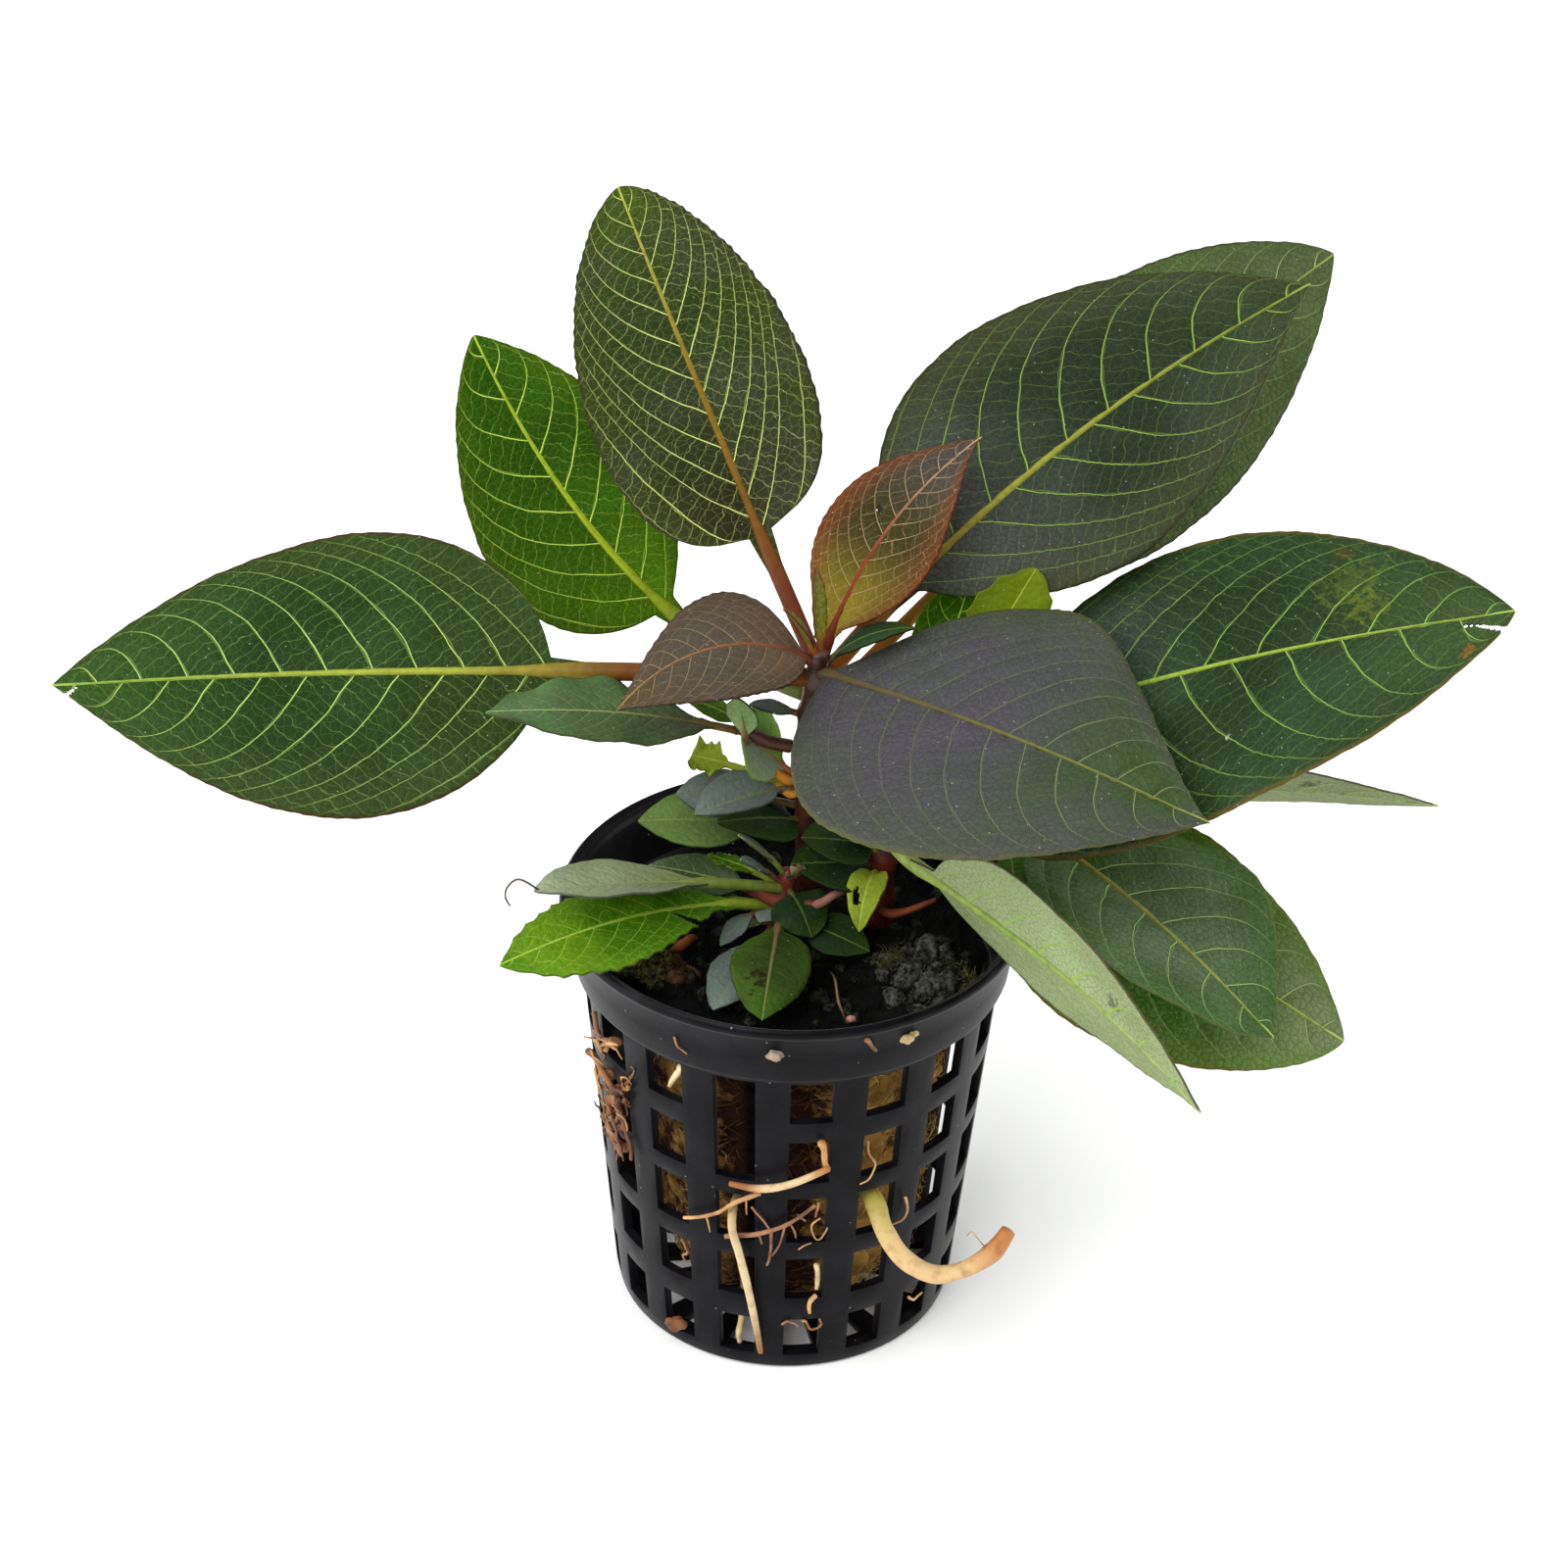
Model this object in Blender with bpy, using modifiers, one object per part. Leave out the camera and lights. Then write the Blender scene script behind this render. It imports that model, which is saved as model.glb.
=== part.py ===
"""A hygrophila grown out of water, rooted in rock wool in a black net pot.

Lengths are in millimetres and angles in degrees, turned to metres where the meshes are made.
The origin is the middle of the pot's base. The photograph was taken from the -Y side.
"""

import math
from dataclasses import dataclass

import bmesh
import bpy
import numpy as np

MM = 0.001
TOUCHING_GAP = 0.3

# Net pot. It is one moulding; its solids are cut at the bars so that collision leaves its inside open.
COLUMNS = 17
FIRST_COLUMN = 6.5
WINDOW_HALF_ANGLE = 5.9
WINDOW_ROWS = ((2.2, 8.1), (11.6, 18.0), (20.7, 27.6), (30.0, 36.3), (39.2, 45.1))
WALL_PANELS = ((15, 3), (1, 3), (4, 3), (7, 3), (10, 2), (12, 3))
BROKEN_COLUMN = 16
BROKEN_BAR = (36.3, 39.2)
BASE_RADIUS = 20.4
WALL_TOP_RADIUS = 24.4
BAND_FOOT = 46.0
BAND_RADII = (25.3, 26.2)
LIP_FOOT = 53.1
RIM_RADIUS = 27.0
POT_HEIGHT = 54.3
POT_WALL = 1.1
HUB_RADIUS = 7.0
SPOKE_END_RADIUS = 17.5
GATE_RADIUS = 4.0

# Rock wool plug and the moss on it
PLUG_STATIONS = ((1.5, 8.5), (4.5, 12.5), (10.0, 15.6), (20.0, 16.7), (30.0, 17.4), (38.0, 18.2), (43.0, 18.6))
PLUG_SEGMENTS = 18
CRUST_FOOT = 43.4
CRUST_TOP = 47.4
CRUST_RADIUS = 22.6
CRUST_SEGMENTS = 22
CRUST_RINGS = 6

# Leaf sections
LAMINA_HALF = 0.18
SECTION_SIDES = 8
ARC_STEPS = 48
LARGE_BLADE = (0.07, 0.17, 0.30, 0.44, 0.58, 0.72, 0.84, 0.94, 1.0)
SMALL_BLADE = (0.12, 0.30, 0.50, 0.70, 0.88, 1.0)

collection = None


@dataclass(frozen=True)
class Stem:
    """A stem, as points (x, y, z, radius) from its rooted end up."""

    name: str
    points: tuple
    colour: tuple


@dataclass(frozen=True)
class Leaf:
    """A leaf with its stalk. Heading 0 is +X and 90 is +Y; roll lifts the left half; droop bends it down.

    The forms are powers (near the foot, near the tip) of the outline of each half. A stalk with a turn
    (heading, rise) starts that much away from the way the blade heads. Shift moves the foot.
    """

    name: str
    stem: str
    height: float
    heading: float
    rise: float
    stalk: float
    blade: float
    width: float
    roll: float = 0
    droop: float = 20
    sweep: float = 0
    left_form: tuple = (0.65, 0.9)
    right_form: tuple = (0.65, 0.9)
    left_share: float = 0.5
    fold: float = 8
    cup: float = 12
    stalk_radius: float = 0.8
    stalk_turn: tuple = (0, 0)
    shift: tuple = (0, 0, 0)
    colour: tuple = (0.02, 0.05, 0.02)
    large: bool = False


@dataclass(frozen=True)
class Root:
    """A thick root, as points along its middle."""

    name: str
    points: tuple
    radius: float
    colour: tuple


DARK_GREEN = (0.012, 0.040, 0.014)
BRIGHT_GREEN = (0.045, 0.150, 0.008)
BRONZE = (0.090, 0.055, 0.020)
PURPLE = (0.085, 0.045, 0.040)
SLATE = (0.035, 0.045, 0.048)
PALE_GREEN = (0.300, 0.420, 0.200)

STEMS = (
    Stem(
        "stem_main",
        ((2.4, 9.5, 38, 2.0), (2.3, 8.8, 48, 2.0), (1.6, 6.8, 62, 1.7), (1.3, 5.2, 72, 1.5), (1.8, 3.9, 80, 1.3),
         (2.2, 3.2, 84.8, 1.0)),
        (0.10, 0.04, 0.015),
    ),
    Stem(
        "stem_right",
        ((9.6, 4.6, 38, 1.7), (10.1, 4.4, 48, 1.6), (10.6, 4.2, 58, 1.4), (13.4, 4.2, 67, 1.25), (14.6, 4.4, 73.4, 0.9)),
        (0.16, 0.03, 0.015),
    ),
    Stem(
        "stem_left",
        ((-2.6, 0.2, 38, 1.3), (-2.2, 0.4, 46, 1.3), (-1.2, 1.0, 52, 1.1), (-0.6, 1.6, 56.5, 0.8)),
        (0.14, 0.04, 0.02),
    ),
    Stem("shoot_left", ((-0.8, 4.9, 71.2, 0.8), (-3.6, 4.0, 72.4, 0.8), (-6.6, 3.0, 74.6, 0.7)), (0.12, 0.05, 0.02)),
)

LARGE_LEAVES = (
    Leaf("leaf_top", "stem_main", 83.4, 116.5, 31, 16.7, 63.7, 27.5, roll=-33, droop=27, sweep=2.5,
         left_form=(0.34, 0.76), right_form=(0.3, 0.8), fold=23, colour=BRONZE, large=True, stalk_radius=0.9),
    Leaf("leaf_back_left", "stem_main", 78, 125.5, -15.5, 30, 52, 25, roll=-35, droop=-36, sweep=-31,
         left_form=(0.45, 0.83), right_form=(0.7, 0.87), left_share=0.52, fold=15.5, colour=BRIGHT_GREEN,
         large=True, stalk_radius=1.0),
    Leaf("leaf_far_left", "stem_main", 81, 177, -0.5, 28.6, 59, 34.5, roll=-41, droop=11, sweep=3,
         left_form=(0.64, 1.07), right_form=(0.56, 0.96), fold=3.5, colour=DARK_GREEN, large=True,
         stalk_radius=1.0),
    Leaf("leaf_upper_right", "stem_main", 80.6, 45, 32, 14.5, 59, 36.4, roll=14.5, droop=0.5, sweep=-24,
         left_form=(0.67, 1.03), right_form=(0.7, 1.1), fold=13, colour=DARK_GREEN, large=True,
         stalk_radius=1.0),
    Leaf("leaf_behind_right", "stem_main", 76, 43, 28, 22.4, 67, 29.6, roll=50, droop=8, sweep=-10.5,
         left_form=(0.62, 0.82), right_form=(0.72, 0.91), fold=12, colour=DARK_GREEN, large=True,
         stalk_radius=1.0),
    Leaf("leaf_front_right", "stem_main", 82.4, -51.5, 17, 0.8, 50.9, 41.4, roll=16, droop=36, sweep=18.5,
         left_form=(0.95, 1.38), right_form=(0.83, 1.12), left_share=0.49, fold=4.5, colour=SLATE, large=True,
         stalk_radius=0.8),
    Leaf("leaf_right", "stem_right", 72, -22, 34.5, 8.6, 63, 40, roll=27, droop=9, sweep=-8,
         left_form=(0.55, 0.93), right_form=(0.25, 0.68), left_share=0.48, fold=1, colour=DARK_GREEN,
         large=True, stalk_radius=0.8),
    Leaf("leaf_lower_right", "stem_right", 69.5, -39.5, 0, 17.6, 34.5, 31.7, roll=-9.5, droop=25.5, sweep=-2.5,
         left_form=(1.05, 1.27), right_form=(0.54, 0.74), left_share=0.52, fold=12, colour=DARK_GREEN,
         large=True, stalk_radius=0.9),
    Leaf("leaf_lower_behind", "stem_right", 66, -21, -17, 11, 45.8, 32, roll=19, droop=21, sweep=6.5,
         left_form=(0.55, 0.76), right_form=(0.45, 0.75), left_share=0.48, fold=1, colour=BRIGHT_GREEN,
         large=True, stalk_radius=0.9),
    Leaf("leaf_sliver_right", "stem_right", 64.2, 12.5, 3.5, 16.7, 44.7, 20.5, roll=-44.5, droop=17.5, sweep=-2.5,
         left_form=(0.7, 0.8), right_form=(0.64, 1.4), left_share=0.46, fold=9.5, colour=PALE_GREEN,
         large=True, stalk_radius=0.8),
    Leaf("leaf_pale_hanging", "stem_right", 62, -37, -8, 16.4, 44.8, 23, roll=-72.5, droop=20, sweep=-8,
         left_form=(0.63, 1.09), right_form=(0.63, 1.09), fold=10, stalk_turn=(-69, 33), colour=PALE_GREEN,
         large=True, stalk_radius=0.8),
)

YOUNG_LEAVES = (
    Leaf("young_leaf_right", "stem_main", 84.2, 60, 56, 2.4, 28, 16, roll=-8.5, droop=28, sweep=-25,
         left_form=(0.87, 1.26), right_form=(0.83, 1.36), colour=BRONZE, stalk_radius=0.6),
    Leaf("young_leaf_left", "stem_main", 84, 200.5, 40, 0.6, 24.4, 19.6, roll=-6.5, droop=93, sweep=8.5,
         left_form=(0.79, 1.12), right_form=(0.6, 1.6), fold=7, colour=PURPLE, stalk_radius=0.6),
    Leaf("apex_leaflet", "stem_main", 84.8, 123, 92, 1.5, 8.4, 1.8, shift=(0.7, -1.0, 0.5), colour=BRIGHT_GREEN,
         stalk_radius=0.35),
    Leaf("apex_bud", "stem_main", 84.8, 193, 68, 0.8, 5.8, 2.4, fold=25, shift=(0.5, -0.2, 0.45),
         colour=BRIGHT_GREEN, stalk_radius=0.35),
    Leaf("small_leaf_crown", "stem_main", 83.8, 356, 52, 1.2, 9.5, 4.4, droop=50, colour=DARK_GREEN,
         stalk_radius=0.35),
    Leaf("green_leaf_behind", "stem_right", 72.4, 65, 65, 3.2, 14.4, 7.5, shift=(-0.2, 0.3, 0),
         colour=BRIGHT_GREEN, stalk_radius=0.4),
    Leaf("green_leaf_toothed", "stem_right", 73.2, 10, 64, 5, 18, 6.4, shift=(-0.4, 0, 0.6),
         colour=BRIGHT_GREEN, stalk_radius=0.4),
)

SHOOT_LEAVES = (
    Leaf("leaf_small_left", "shoot_left", 74.6, 194, 20.5, 3.3, 25.4, 10.5, roll=-11.5, droop=15, sweep=7,
         left_form=(0.63, 0.83), right_form=(1.0, 1.1), left_share=0.47, fold=4, colour=SLATE, stalk_radius=0.4),
    Leaf("shoot_leaf_green", "shoot_left", 74.2, 173, 32, 0.6, 6, 4.2, shift=(0.3, 1.0, 0.5), colour=BRIGHT_GREEN,
         stalk_radius=0.35),
    Leaf("shoot_leaf_pale", "shoot_left", 73.8, 248, 79, 1, 6.1, 3.8, shift=(0, -0.5, 0.3), colour=SLATE, stalk_radius=0.35),
    Leaf("shoot_leaf_dark", "stem_main", 76, 189, 25, 1, 4.7, 3, colour=SLATE, stalk_radius=0.35),
    Leaf("leaf_hanging_oval", "stem_main", 67, 191, 43, 2.2, 8.4, 6.2, roll=-25, colour=BRIGHT_GREEN,
         stalk_radius=0.4),
)

CLUSTER_LEAVES = (
    Leaf("bud_yellow", "stem_main", 64.4, 170, 20, 8.4, 4, 3, fold=20, colour=BRIGHT_GREEN, stalk_radius=0.4),
    Leaf("cluster_leaf_slate", "stem_main", 62.2, 183, 15, 4, 9.5, 5, colour=SLATE, stalk_radius=0.4),
    Leaf("cluster_leaf_folded", "stem_main", 65.5, 213, 11, 4, 9.2, 4.6, fold=35, colour=SLATE, stalk_radius=0.4),
    Leaf("cluster_leaf_dark", "stem_main", 60.6, 214, 25, 2.1, 8.8, 5.2, colour=DARK_GREEN, stalk_radius=0.4),
    Leaf("cluster_leaf_oval", "stem_main", 58.5, 189, 16, 5.8, 12.4, 6, colour=DARK_GREEN, stalk_radius=0.4),
    Leaf("cluster_leaf_low", "stem_left", 52.8, 170, 17, 4, 11, 4.4, colour=SLATE, stalk_radius=0.4),
    Leaf("leaflet_pale", "stem_left", 56.2, 194, 57, 2.5, 5.1, 2, shift=(0.3, -0.3, 0.6), colour=PALE_GREEN,
         stalk_radius=0.3),
    Leaf("leaflet_slate", "stem_left", 55.4, 206, 51, 2.4, 4, 2.4, colour=SLATE, stalk_radius=0.3),
    Leaf("cluster_leaf_back", "stem_right", 56, 202, 21, 1.2, 8.8, 6, colour=DARK_GREEN, stalk_radius=0.4),
    Leaf("leaf_edge_green", "stem_right", 58.5, 205, 47, 1.2, 4.6, 3.4, colour=BRIGHT_GREEN, stalk_radius=0.35),
    Leaf("pointed_leaflet", "stem_right", 54.5, 265, -13, 1.2, 6.5, 3.6, fold=30, colour=BRIGHT_GREEN,
         stalk_radius=0.4),
    Leaf("leaflet_low_pale", "stem_left", 49.8, 187, -2, 1, 4, 2, colour=PALE_GREEN, stalk_radius=0.3),
    Leaf("curled_leaf", "stem_left", 54.2, 301, -13, 0.8, 5.2, 6, droop=44, colour=DARK_GREEN, stalk_radius=0.35),
    Leaf("leaf_low_slate", "stem_left", 50, 248, 9, 6.7, 11, 5, colour=SLATE, stalk_radius=0.4),
    Leaf("leaf_low_dark", "stem_left", 51.8, 265, 9, 6.3, 14.4, 8, colour=DARK_GREEN, stalk_radius=0.45),
    Leaf("leaf_torn_green", "stem_left", 54.6, 167, 26, 3.4, 5.2, 3, colour=BRIGHT_GREEN, stalk_radius=0.35),
    Leaf("leaf_low_left_green", "stem_left", 52.3, 214, 25, 7.2, 29, 12, roll=-15.5, droop=37, sweep=5.5,
         left_form=(1.1, 0.8), right_form=(0.8, 0.95), left_share=0.54, colour=BRIGHT_GREEN, stalk_radius=0.6),
    Leaf("leaf_low_left_grey", "stem_left", 54.5, 209, 22.5, 11.6, 20.6, 9.6, roll=7.5, droop=12,
         left_form=(0.66, 0.65), right_form=(0.69, 0.8), left_share=0.44, fold=12, colour=SLATE,
         stalk_radius=0.6),
)

ROOTS = (
    Root("root_fat", ((8.4, -15.9, 25.4), (10.3, -20.0, 25.2), (11.4, -22.6, 23.4), (13.7, -24.2, 20.6),
                      (17.2, -25.0, 19.0), (20.8, -25.0, 19.9), (23.8, -24.5, 22.0), (25.5, -24.0, 24.8)),
         1.2, (0.55, 0.33, 0.12)),
    Root("root_flat", ((-5.1, -17.1, 24.6), (-5.9, -21.0, 25.2), (-6.0, -23.4, 23.6), (-5.2, -23.2, 20.0),
                       (-4.2, -22.8, 15.0), (-3.2, -22.2, 9.0), (-2.4, -21.8, 3.6)),
         0.45, (0.55, 0.40, 0.22)),
    Root("root_across", ((-6.4, -23.4, 30.2), (-3.0, -24.2, 30.2), (0.5, -24.5, 31.2), (4.8, -24.0, 33.2)),
         0.45, (0.55, 0.40, 0.22)),
)


def clear_scene():
    for old in list(bpy.data.objects):
        bpy.data.objects.remove(old)


def material(name, colour, roughness):
    made = bpy.data.materials.new(name)
    made.use_nodes = True
    shader = made.node_tree.nodes["Principled BSDF"]
    shader.inputs["Base Color"].default_value = (*colour, 1.0)
    shader.inputs["Roughness"].default_value = roughness
    return made


def mesh_object(name, mesh_edit, target):
    mesh = bpy.data.meshes.new(name)
    mesh_edit.to_mesh(mesh)
    mesh_edit.free()
    made = bpy.data.objects.new(name, mesh)
    target.objects.link(made)
    return made


def smooth(made, angle=40):
    made.data.shade_smooth()
    made.data.set_sharp_from_angle(angle=math.radians(angle))


def wall_radius(height):
    """Outer radius of the lattice wall."""
    return BASE_RADIUS + (WALL_TOP_RADIUS - BASE_RADIUS) * height / BAND_FOOT


def column_turn(column):
    return FIRST_COLUMN + column * 360 / COLUMNS


def ring_turns():
    """Angles of the windows' sides all the way round, the first one again at the end."""
    sides = [column_turn(column) + side * WINDOW_HALF_ANGLE for column in range(COLUMNS) for side in (-1, 1)]
    return sides + [sides[0] + 360]


def panel_turns(first, count):
    """Angles from half a bar before a panel's first column to half a bar after its last, less the gap."""
    half_pitch = 180 / COLUMNS - math.degrees(TOUCHING_GAP / 2 / BASE_RADIUS)
    sides = [column_turn(first + step) + side * WINDOW_HALF_ANGLE for step in range(count) for side in (-1, 1)]
    return [column_turn(first) - half_pitch, *sides, column_turn(first + count - 1) + half_pitch]


def rolled_sheet(name, profile, turns, is_open):
    """A sheet rolled round from a grid of (radius, height) levels, less its openings, as a mesh edit."""
    strips, levels = len(turns) - 1, len(profile) - 1
    edit = bmesh.new()
    bmesh.ops.create_grid(edit, x_segments=strips, y_segments=levels, size=1)
    cells = {}
    for vertex in edit.verts:
        cells[vertex] = (round((vertex.co.x + 1) / 2 * strips), round((vertex.co.y + 1) / 2 * levels))
    openings = []
    for face in edit.faces:
        strip = min(cells[vertex][0] for vertex in face.verts)
        level = min(cells[vertex][1] for vertex in face.verts)
        if is_open(strip, profile[level], profile[level + 1]):
            openings.append(face)
    for vertex, (strip, level) in cells.items():
        turn = math.radians(turns[strip])
        radius, height = profile[level]
        vertex.co = (radius * math.sin(turn) * MM, -radius * math.cos(turn) * MM, height * MM)
    bmesh.ops.delete(edit, geom=openings, context="FACES")
    bmesh.ops.remove_doubles(edit, verts=edit.verts, dist=0.00001)
    return edit


def moulded(name, edit):
    """The sheet with its faces outwards and the pot's wall inside them."""
    bmesh.ops.recalc_face_normals(edit, faces=edit.faces)
    made = mesh_object(name, edit, collection)
    wall = made.modifiers.new("wall", "SOLIDIFY")
    wall.thickness = POT_WALL * MM
    wall.offset = -1
    wall.use_even_offset = True
    made.data.materials.append(material(name + " polypropylene", (0.012, 0.012, 0.014), 0.42))
    smooth(made, 25)
    return made


def pot_rim():
    """The plain band with its shoulder on the wall and its lip."""
    shoulder = [(WALL_TOP_RADIUS - POT_WALL, BAND_FOOT), (BAND_RADII[0], BAND_FOOT)]
    lip = [(BAND_RADII[1], LIP_FOOT - 0.3), (RIM_RADIUS, LIP_FOOT), (RIM_RADIUS, POT_HEIGHT)]
    edit = rolled_sheet("pot_rim", shoulder + lip, ring_turns(), lambda strip, low, high: False)
    return moulded("pot_rim", edit)


def pot_wall(number, first, count):
    """A few columns of the lattice, with their windows; one bar of the broken column is missing."""
    heights = [0.0, *(edge for row in WINDOW_ROWS for edge in row), BAND_FOOT - TOUCHING_GAP]

    def is_window(strip, low, high):
        edges = (low[1], high[1])
        column = (first + strip // 2) % COLUMNS
        broken = column == BROKEN_COLUMN and edges == BROKEN_BAR
        return strip % 2 == 1 and (edges in WINDOW_ROWS or broken)

    name = f"pot_wall_{number}"
    profile = [(wall_radius(height), height) for height in heights]
    return moulded(name, rolled_sheet(name, profile, panel_turns(first, count), is_window))


def pot_base():
    """The base's hub, spokes and ring. The middle of the hub is one facet, which the mount there lies in."""
    profile = [(HUB_RADIUS, 0.0), (SPOKE_END_RADIUS, 0.0), (BASE_RADIUS - POT_WALL - TOUCHING_GAP, 0.0)]

    def is_slot(strip, low, high):
        return strip % 2 == 0 and low == profile[0]

    edit = rolled_sheet("pot_base", profile, ring_turns(), is_slot)
    hub = [vertex for vertex in edit.verts if vertex.co.to_2d().length < (HUB_RADIUS + 0.1) * MM]
    hub.sort(key=lambda vertex: math.atan2(vertex.co.x, -vertex.co.y))
    hub_edges = [edit.edges.get(pair) or edit.edges.new(pair) for pair in zip(hub, hub[1:] + hub[:1])]
    gate = bmesh.ops.create_circle(edit, segments=3, radius=GATE_RADIUS * MM)["verts"]
    gate_edges = list({edge for vertex in gate for edge in vertex.link_edges})
    bmesh.ops.triangle_fill(edit, edges=hub_edges + gate_edges, use_beauty=True)
    if not any(set(face.verts) == set(gate) for face in edit.faces):
        bmesh.ops.contextual_create(edit, geom=gate_edges)
    return moulded("pot_base", edit)


def lump(turn, height, count, size):
    """A smooth unevenness round a packed mass, the same each run."""
    return size * math.sin(count * turn + 0.7 * height) * math.cos(0.35 * height + 2.0 * turn)


def rock_wool_plug():
    """The tapered plug of fibres, round at its foot and flat on top, with holes for the stems."""
    edit = bmesh.new()
    rings = len(PLUG_STATIONS)
    bmesh.ops.create_uvsphere(edit, u_segments=PLUG_SEGMENTS, v_segments=rings + 1, radius=1)
    for vertex in edit.verts:
        level = round((math.asin(max(-1, min(1, vertex.co.z))) / math.pi + 0.5) * (rings + 1))
        turn = math.atan2(vertex.co.y, vertex.co.x)
        height, radius = PLUG_STATIONS[min(max(level - 1, 0), rings - 1)]
        if level in (0, rings + 1):
            radius = 0
        else:
            radius += lump(turn, height, 5, 0.5)
        vertex.co = (radius * math.cos(turn) * MM, radius * math.sin(turn) * MM, height * MM)
    made = mesh_object("rock_wool_plug", edit, collection)
    made.data.materials.append(material("rock wool", (0.22, 0.15, 0.05), 0.95))
    return made


def crust_height(x, y):
    """Height of the moss: a rough surface with a big clump at the right and a smaller one at the left."""
    rough = 0.35 * math.sin(0.55 * x + 1.0) * math.cos(0.5 * y)
    right = 3.6 * math.exp(-((x - 15.0) ** 2 + (y + 6.5) ** 2) / 26)
    left = 2.2 * math.exp(-((x + 15.0) ** 2 + (y + 8.5) ** 2) / 20)
    return CRUST_TOP + rough + right + left


def crust_reach(turn):
    """Radius of the moss, which falls short of the wall at the back left."""
    missing = math.radians(135)
    apart = math.remainder(turn - missing, math.tau)
    return CRUST_RADIUS - 5.0 * math.exp(-((apart / 0.55) ** 2))


def moss_crust():
    """A thick disc of moss with a lumpy top, resting on the plug."""
    edit = bmesh.new()
    bmesh.ops.create_uvsphere(edit, u_segments=CRUST_SEGMENTS, v_segments=CRUST_RINGS + 2, radius=1)
    levels = CRUST_RINGS + 2
    under = ((0, 0.0), (1, 0.62), (2, 0.97))
    for vertex in edit.verts:
        level = round((math.asin(max(-1, min(1, vertex.co.z))) / math.pi + 0.5) * levels)
        turn = math.atan2(vertex.co.y, vertex.co.x)
        if level < len(under):
            share = under[level][1]
            reach = share * crust_reach(turn)
            height = CRUST_FOOT + (0.6 if level == 2 else 0)
        else:
            share = math.sin((levels - level) / (levels - 2) * math.pi / 2) if level < levels else 0
            reach = share * crust_reach(turn)
            height = crust_height(reach * math.cos(turn), reach * math.sin(turn)) - 1.6 * share**8
        vertex.co = (reach * math.cos(turn) * MM, reach * math.sin(turn) * MM, height * MM)
    made = mesh_object("moss_crust", edit, collection)
    made.data.materials.append(material("dark moss", (0.008, 0.011, 0.008), 0.9))
    return made


def stem_tube(name, points, extra, target):
    """A tube along the stem with its points' own radii, each wider by extra."""
    curve = bpy.data.curves.new(name, "CURVE")
    curve.dimensions = "3D"
    curve.bevel_depth = MM
    curve.bevel_resolution = 2
    curve.use_fill_caps = True
    line = curve.splines.new("POLY")
    line.points.add(len(points) - 1)
    for point, (x, y, z, radius) in zip(line.points, points):
        point.co = (x * MM, y * MM, z * MM, 1)
        point.radius = radius + extra
    made = bpy.data.objects.new(name, curve)
    target.objects.link(made)
    return made


def closed_mesh(made, target):
    """The same shape as a mesh with its caps welded on."""
    bpy.context.view_layer.update()
    graph = bpy.context.evaluated_depsgraph_get()
    mesh = bpy.data.meshes.new_from_object(made.evaluated_get(graph))
    edit = bmesh.new()
    edit.from_mesh(mesh)
    bmesh.ops.remove_doubles(edit, verts=edit.verts, dist=0.000001)
    edit.to_mesh(mesh)
    edit.free()
    name = made.name
    place = made.matrix_world.copy()
    bpy.data.objects.remove(made)
    solid = bpy.data.objects.new(name, mesh)
    solid.matrix_world = place
    target.objects.link(solid)
    return solid


def planting_hole(stem, cutters):
    """The lower stem, wider by the gap and a little deeper, that cuts the moss and the plug."""
    x, y, z, radius = stem.points[0]
    buried = ((x, y, z - TOUCHING_GAP, radius), *stem.points[1:3])
    cutter = closed_mesh(stem_tube("hole_" + stem.name, buried, TOUCHING_GAP, cutters), cutters)
    cutter.hide_render = True
    cutter.display_type = "WIRE"
    return cutter


def make_stem(stem):
    made = stem_tube(stem.name, stem.points, 0, collection)
    made.data.materials.append(material(stem.name + " skin", stem.colour, 0.45))
    return made


def make_root(root):
    points = []
    last = len(root.points) - 1
    for index, (x, y, z) in enumerate(root.points):
        blunt = 0.75 if index == last else 1.0
        points.append((x, y, z, root.radius * blunt))
    made = stem_tube(root.name, points, 0, collection)
    made.data.materials.append(material(root.name + " skin", root.colour, 0.6))
    return made


def foot_of(leaf, stems):
    """Where the stalk starts: just clear of the stem's skin, on the side that the leaf heads for."""
    rows = np.array(stems[leaf.stem].points)
    x, y, radius = (np.interp(leaf.height, rows[:, 2], rows[:, column]) for column in (0, 1, 3))
    heading = math.radians(leaf.heading + leaf.stalk_turn[0])
    out = radius + TOUCHING_GAP
    return np.array([x + out * math.cos(heading), y + out * math.sin(heading), leaf.height]) + np.array(leaf.shift)


def turned(vector, axis, angle):
    cosine, sine = math.cos(angle), math.sin(angle)
    return vector * cosine + np.cross(axis, vector) * sine + axis * np.dot(axis, vector) * (1 - cosine)


def frame_at(heading, rise, roll):
    """The (along, left, up) directions of a leaf that heads, rises and rolls by these angles."""
    heading, rise, roll = (math.radians(angle) for angle in (heading, rise, roll))
    level = np.array([math.cos(heading), math.sin(heading), 0])
    along = level * math.cos(rise) + np.array([0, 0, math.sin(rise)])
    left = np.array([-math.sin(heading), math.cos(heading), 0])
    up = np.cross(along, left)
    return along, left * math.cos(roll) + up * math.sin(roll), up * math.cos(roll) - left * math.sin(roll)


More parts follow.
